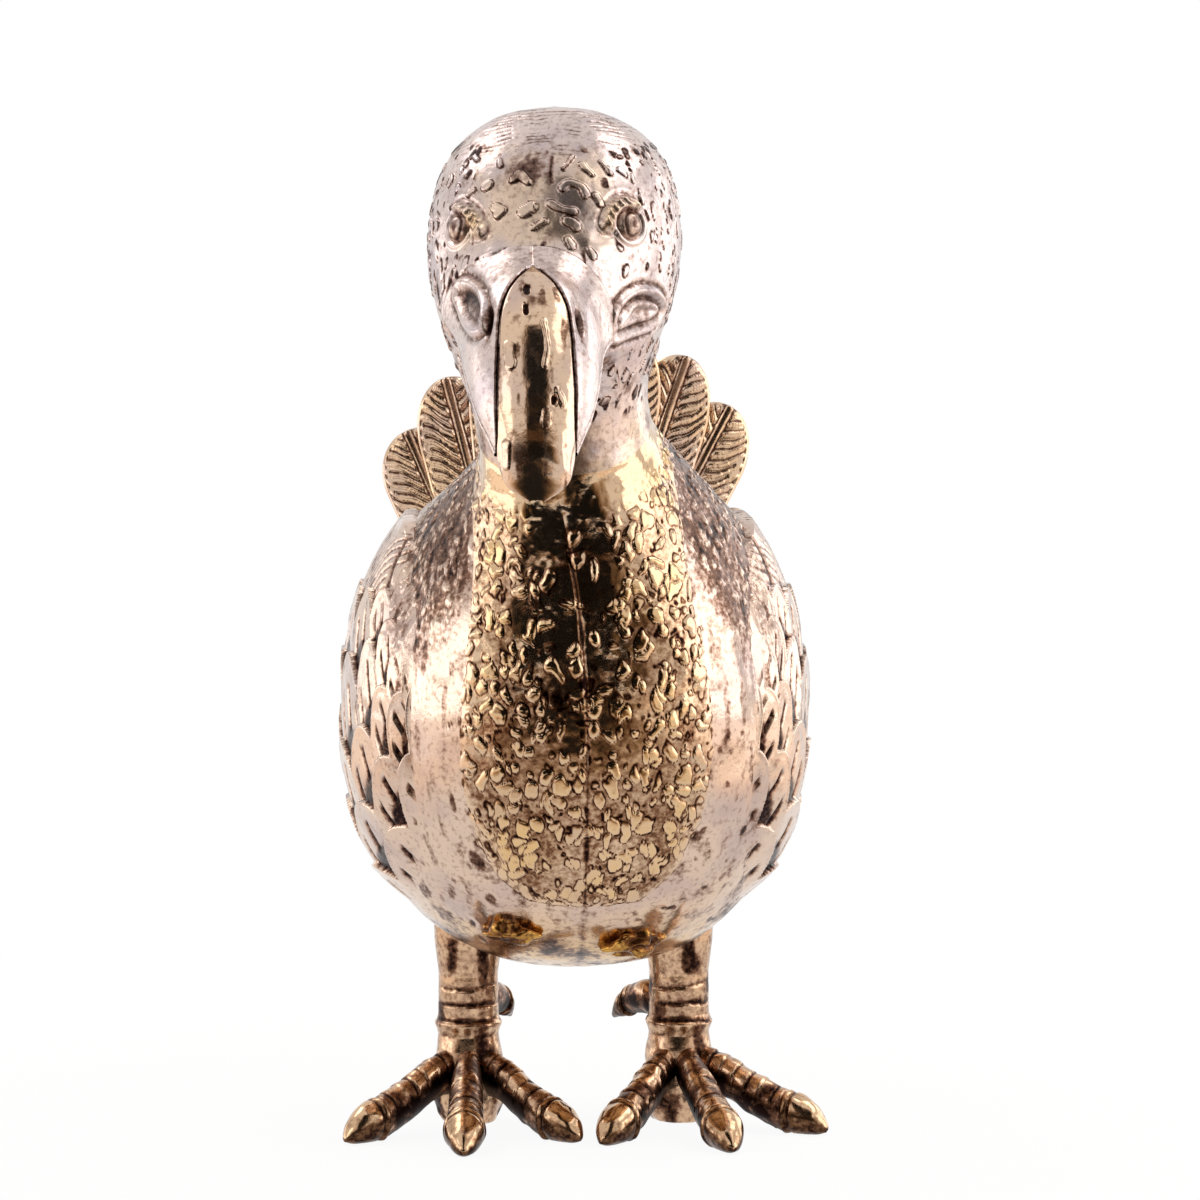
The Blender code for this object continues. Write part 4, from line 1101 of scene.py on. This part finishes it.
def plume(number):
    # Leaf on a straight midline in x and z, lying on the shared curved sheet. The ring round each row goes
    # over the front and back faces: half width times cos, thickness times sin to the 0.35
    form = tailForm
    share = np.linspace(0, 1, form["rows"])[:, None]
    turn = roundTurn(form["columns"])
    across = np.broadcast_to(np.cos(turn), (form["rows"], form["columns"]))
    foot = np.array([form["footSpread"] * number, form["footZ"]])
    tip = np.array(form["tips"][number + 3], float)
    reach = np.linalg.norm(tip - foot)
    heading = (tip - foot) / reach
    blade = smoothStep(share, form["tangShare"], form["tangShare"] + form["bladeShare"])
    rounding = np.sqrt(1 - np.clip((share - 1 + form["tipShare"]) / form["tipShare"], 0, 1) ** 2)
    half = (form["tang"] + (form["half"] - form["tang"]) * blade) * rounding
    x = foot[0] + (tip - foot)[0] * share + half * across * heading[1]
    z = foot[1] + (tip - foot)[1] * share - half * across * heading[0]
    rise = z - form["footZ"]
    sheet = form["sheetY"] + form["lean"] * rise - form["curl"] * rise**2
    sheet = sheet + form["layer"] * abs(number) - form["dome"] * blade * (1 - across**2)
    sheet = sheet + form["bend"] * blade * across**2
    aside = half * across
    slant = share * reach - 0.9 * np.abs(aside)
    count = slant / form["barbStep"] + 0.15 * np.sin(aside * 0.7 + number)
    luck = chance(np.stack([np.floor(count), np.sign(aside), aside * 0 + number], axis=-1), 102)
    cut = smoothStep(half * (0.7 + 0.35 * luck) - np.abs(aside), -0.4, 0.6)
    barb = bump((count % 1 - 0.3 - 0.4 * luck) * form["barbStep"], form["barbWide"]) * cut
    grooves = bump(np.abs(aside) - form["shaftWide"], 0.38)
    inside = half - np.abs(aside)
    vane = smoothStep(inside, 0.9, 1.7) * smoothStep(np.abs(aside), 1.9, 2.4) * blade
    border = smoothStep(-inside, -1.5, -0.9) * blade
    relief = (1.1 * (0.5 - count % 1) - 0.6 * barb) * vane - 0.65 * grooves * blade + 0.15 * border
    face = np.sign(np.sin(turn)) * np.abs(np.sin(turn)) ** 0.35
    flat = smoothStep(np.abs(np.sin(turn)), 0.05, 0.3)
    y = sheet - face * (form["thick"] / 2 + relief * flat) * (0.15 + 0.85 * rounding)
    points = np.stack([x, y, z], axis=-1)
    worn = 0.97 - 0.7 * vane * barb - 0.7 * grooves * blade
    worn = worn - 0.15 * blotches(points, 6, 101, 0.3, 0.9)
    name = f"tailPlume{number + 4}"
    gridPiece(name, points, metals["antiquedBronze"], [f"tail_plume_{number + 4}"], worn, 0.6, ring=True)


for number in range(-3, 4):
    plume(number)

# Tail socket: an oval ball with small roof-tile feathers
polar, turn = ballGrid(tailForm["rootRows"], tailForm["rootColumns"])
ball = np.stack([np.cos(polar), np.sin(polar) * np.cos(turn), np.sin(polar) * np.sin(turn)], axis=-1)
along, across = turn * tailForm["rootRound"], polar * tailForm["rootAlong"]
share, _, _ = shingles(along, across, *tailForm["rootFeather"], 111)
radii = np.array(tailForm["rootRadii"]) + (0.9 * share - 0.5)[..., None]
points = np.array(tailForm["rootCentre"]) + ball * radii
worn = 0.45 + 0.45 * smoothStep(share, 0.2, 0.7)
gridPiece("tailSocket", points, metals["goldenBronze"], ["tail_root"], worn, 0.3, flip=True, ring=True)
print("tail made")

footForm = {
    "legX": 32.8, "legHigh": 70, "legRows": 160, "legColumns": 90, "ringStep": 5.4,
    # radius and height
    "leg": (
        (7.5, 0), (8.5, 1), (11, 7), (11.3, 12), (10.4, 20), (9.4, 28), (10, 31.5), (9.4, 34), (9.2, 47),
        (10.4, 57), (11, 72),
    ),
    "turn": {"left": -3.0, "right": 13.0},
    "toes": {"inner": (-45, 50), "middle": (0, 57), "outer": (45, 52)},
    "clawLong": 13.5,
    # share of the length, height of the centre, half width, half height
    "toe": ((0.16, 18, 3.9, 7), (0.45, 15, 4.9, 6.6), (0.72, 10, 5.4, 6.5), (1.0, 6.1, 5.6, 6.6)),
    "claw": ((0.0, 6.1, 6.3, 6.6), (0.35, 5.6, 6.0, 6.0), (0.75, 4.0, 3.8, 4.0), (1.0, 2.0, 0.8, 0.9)),
    "hindAngle": 158.0, "hindLong": 24.0, "hindClawLong": 9.0,
    "hindToe": ((0.2, 35, 5.0, 5.4), (0.6, 37, 5.2, 5.6), (1.0, 35, 4.4, 4.6)),
    "hindClaw": ((0.0, 34.8, 4.8, 4.8), (0.5, 32.5, 3.6, 3.8), (1.0, 28.5, 0.8, 0.9)),
    "lap": 0.5, "scuteStep": 4.4, "rows": 96, "columns": 56,
}


def placedFoot(points, side, hand):
    # Turn about the leg's axis, then out to the leg
    angle = np.radians(footForm["turn"][hand])
    x = points[..., 0] * np.cos(angle) - points[..., 1] * np.sin(angle) + side * footForm["legX"]
    y = points[..., 0] * np.sin(angle) + points[..., 1] * np.cos(angle)
    return np.stack([x, y, points[..., 2]], axis=-1)


def toeTube(sections, start, length, direction, seed, claw):
    # Upright ovals along a level direction: half width cos, half height sin, flat where they meet the floor.
    # Toes carry scutes, which are steps across the upper half, and claws a cuticle ring at their base.
    form = footForm
    s = np.linspace(0, 1, form["rows"])
    fine = spline(sections, s * (len(sections) - 1))
    reach = start + length * np.clip(fine[:, 0], sections[0][0], sections[-1][0])
    turn = roundTurn(form["columns"])
    s = s[:, None]
    tilt = np.sin(turn)
    upper = smoothStep(tilt, -0.1, 0.5)
    wave = 0.9 * np.cos(turn) * np.cos(turn)
    phase = (reach[:, None] + wave + 0.25 * np.sin(seed * 7.0)) / form["scuteStep"]
    saw = phase % 1
    if claw:
        relief = 0.35 * bump((s - 0.06) * length, 0.7) - 0.5 * bump((s - 0.17) * length, 0.5)
        recess = bump((s - 0.17) * length, 0.8)
        ends = np.sqrt(1 - np.clip((s - 0.93) / 0.07, 0, 1) ** 2) * smoothStep(s, -0.002, 0.03)
    else:
        cells = np.stack([np.floor(phase), phase * 0 + seed, phase * 0], axis=-1)
        luck = np.clip(1.5 * chance(cells, 122) - 0.4, 0.05, 1)
        relief = upper * luck * (0.75 * saw**0.6 - 0.45 - 0.5 * bump(saw - 0.02, 0.07))
        recess = upper * luck * (1 - smoothStep(saw, 0.05, 0.3))
        ends = smoothStep(s, -0.002, 0.03) * np.sqrt(1 - np.clip((s - 0.97) / 0.03, 0, 1) ** 2)
    forward = np.array([np.sin(direction), -np.cos(direction)])
    sideways = np.array([forward[1], -forward[0]])
    wide = (fine[:, 2:3] + relief) * ends
    high = (fine[:, 3:4] + relief) * ends
    level = reach[:, None, None] * forward + (wide * np.cos(turn))[..., None] * sideways
    height = np.maximum(fine[:, 1:2] + high * tilt, 0.0)
    points = np.concatenate([level, height[..., None]], axis=-1)
    lump = unevenness(points + seed * 31, 3.2, 121)
    points = points + (0.5 * lump * ends)[..., None] * np.array([0, 0, 1.0]) * (height > 1)[..., None]
    # Painted shade: the sides and underside of each toe and claw are darkened, most of all underneath, and the
    # recess is added to it.
    return points, np.maximum(recess, 0.9 * smoothStep(-tilt, -0.75, 0.25)), lump


def leg(side, hand):
    # Profile of radius and height turned about the leg: scute rings, each a rounded step, and an ankle ring
    form = footForm
    heights = np.linspace(0, form["legHigh"], form["legRows"])
    z, turn = np.meshgrid(heights, roundTurn(form["legColumns"]), indexing="ij")
    radius = np.interp(z, [row[1] for row in form["leg"]], [row[0] for row in form["leg"]])
    shaky = 1.1 * unevenness(np.stack([np.cos(turn) * 9, np.sin(turn) * 9, z], axis=-1), 6, 131 + side)
    rings = (z + shaky) / form["ringStep"]
    saw = rings % 1
    ringed = smoothStep(z, 27, 30) * smoothStep(-z, -47, -40)
    ringed = ringed * (0.25 + 0.75 * smoothStep(-np.sin(turn), 0.3, 0.8))
    knuckle = smoothStep(-z, -27, -22)
    plate = np.abs(np.sin(turn * 4 + np.floor(rings) * 1.7)) ** 0.3
    relief = ringed * (0.55 * saw**0.5 - 0.35 - 0.45 * bump(saw, 0.09)) + 0.45 * bump(z - 31.5, 1.6)
    lumps = unevenness(np.stack([turn * 10, z, z * 0 + side], axis=-1), 3.5, 133)
    relief = relief + knuckle * 0.5 * lumps - 0.2 * ringed * (1 - plate)
    radius = (radius + relief) * smoothStep(z, -0.001, 0.25)
    points = np.stack([radius * np.cos(turn), radius * np.sin(turn), z], axis=-1)
    blotch = blotches(points * (1, 1, 0.7), 5, 134 + side, 0.05, 0.6) * (1 - 0.5 * ringed)
    worn = 0.8 - 0.6 * ringed * (1 - smoothStep(saw, 0.08, 0.4)) - 0.65 * blotch - 0.3 * ringed * (1 - plate)
    points = placedFoot(points, side, hand)
    finish = metals["goldenBronze"]
    gridPiece("leg" + hand.title(), points, finish, ["leg_" + hand], worn, 0.4, flip=True, ring=True)


def foot(side, hand):
    # Three front toes and a raised hind toe, each with a claw that laps over its end
    form = footForm
    front = (form["toe"], form["claw"], form["clawLong"])
    hind = (form["hindToe"], form["hindClaw"], form["hindClawLong"])
    toes = [
        (name, side * angle, reach - form["clawLong"], *front)
        for name, (angle, reach) in form["toes"].items()
    ]
    toes.append(("hind", -side * form["hindAngle"], form["hindLong"], *hind))
    for count, (name, angle, length, toe, claw, clawLong) in enumerate(toes):
        direction = np.radians(angle)
        start = length - form["lap"]
        nodeEnd = f"_{hand}_{name}"
        nameEnd = hand.title() + name.title()
        points, recess, lump = toeTube(toe, 0, length, direction, count + 1, False)
        points = placedFoot(points, side, hand)
        # recess holds the painted shade on the toe's sides and underside as well as its scute recesses
        worn = 0.66 - 0.65 * recess + 0.5 * lump
        gridPiece("toe" + nameEnd, points, metals["goldenBronze"], ["toe" + nodeEnd], worn, 0.4, ring=True)
        points, recess, lump = toeTube(claw, start, clawLong + form["lap"], direction, count + 5, True)
        points = placedFoot(points, side, hand)
        # recess holds the painted shade on the claw's sides and underside as well as its cuticle recess
        worn = 0.88 - 0.7 * recess + 0.15 * lump
        gridPiece("claw" + nameEnd, points, metals["brightBrass"], ["claw" + nodeEnd], worn, 0.3, ring=True)


beadLook = {
    "places": {"left": (5.7, 163.5), "right": (5.6, 169.0)}, "radii": (9, 8, 5.5), "sunk": 1.5,
    "rows": 60, "columns": 90,
}


def brazeBead(side, hand):
    # Oval ball on the belly, swollen and dented by noise of two sizes
    look = beadLook
    at, out = skinSpot(look["places"][hand], side)
    polar, turn = ballGrid(look["rows"], look["columns"])
    ball = np.stack([np.sin(polar) * np.cos(turn), np.sin(polar) * np.sin(turn), np.cos(polar)], axis=-1)
    lumps = ball * 9 + side * 40
    rough = 0.34 * unevenness(lumps, 6, 141) + 0.17 * unevenness(lumps, 3, 142)
    points = at - look["sunk"] * out + ball * np.array(look["radii"]) * (1 + rough)[..., None]
    worn = 0.6 + 1.3 * rough
    name = "brazeBead" + hand.title()
    gridPiece(name, points, metals["brazeAsFrozen"], ["braze_bead_" + hand], worn, 0.5, ring=True)


for side, hand in hands:
    leg(side, hand)
    foot(side, hand)
    brazeBead(side, hand)
print("legs and feet made")

# The sleeve inside the neck keeps its solid and takes the legs' finish
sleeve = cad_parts["neck_sleeve"]
sleeve.data.materials.clear()
sleeve.data.materials.append(metals["goldenBronze"][0])
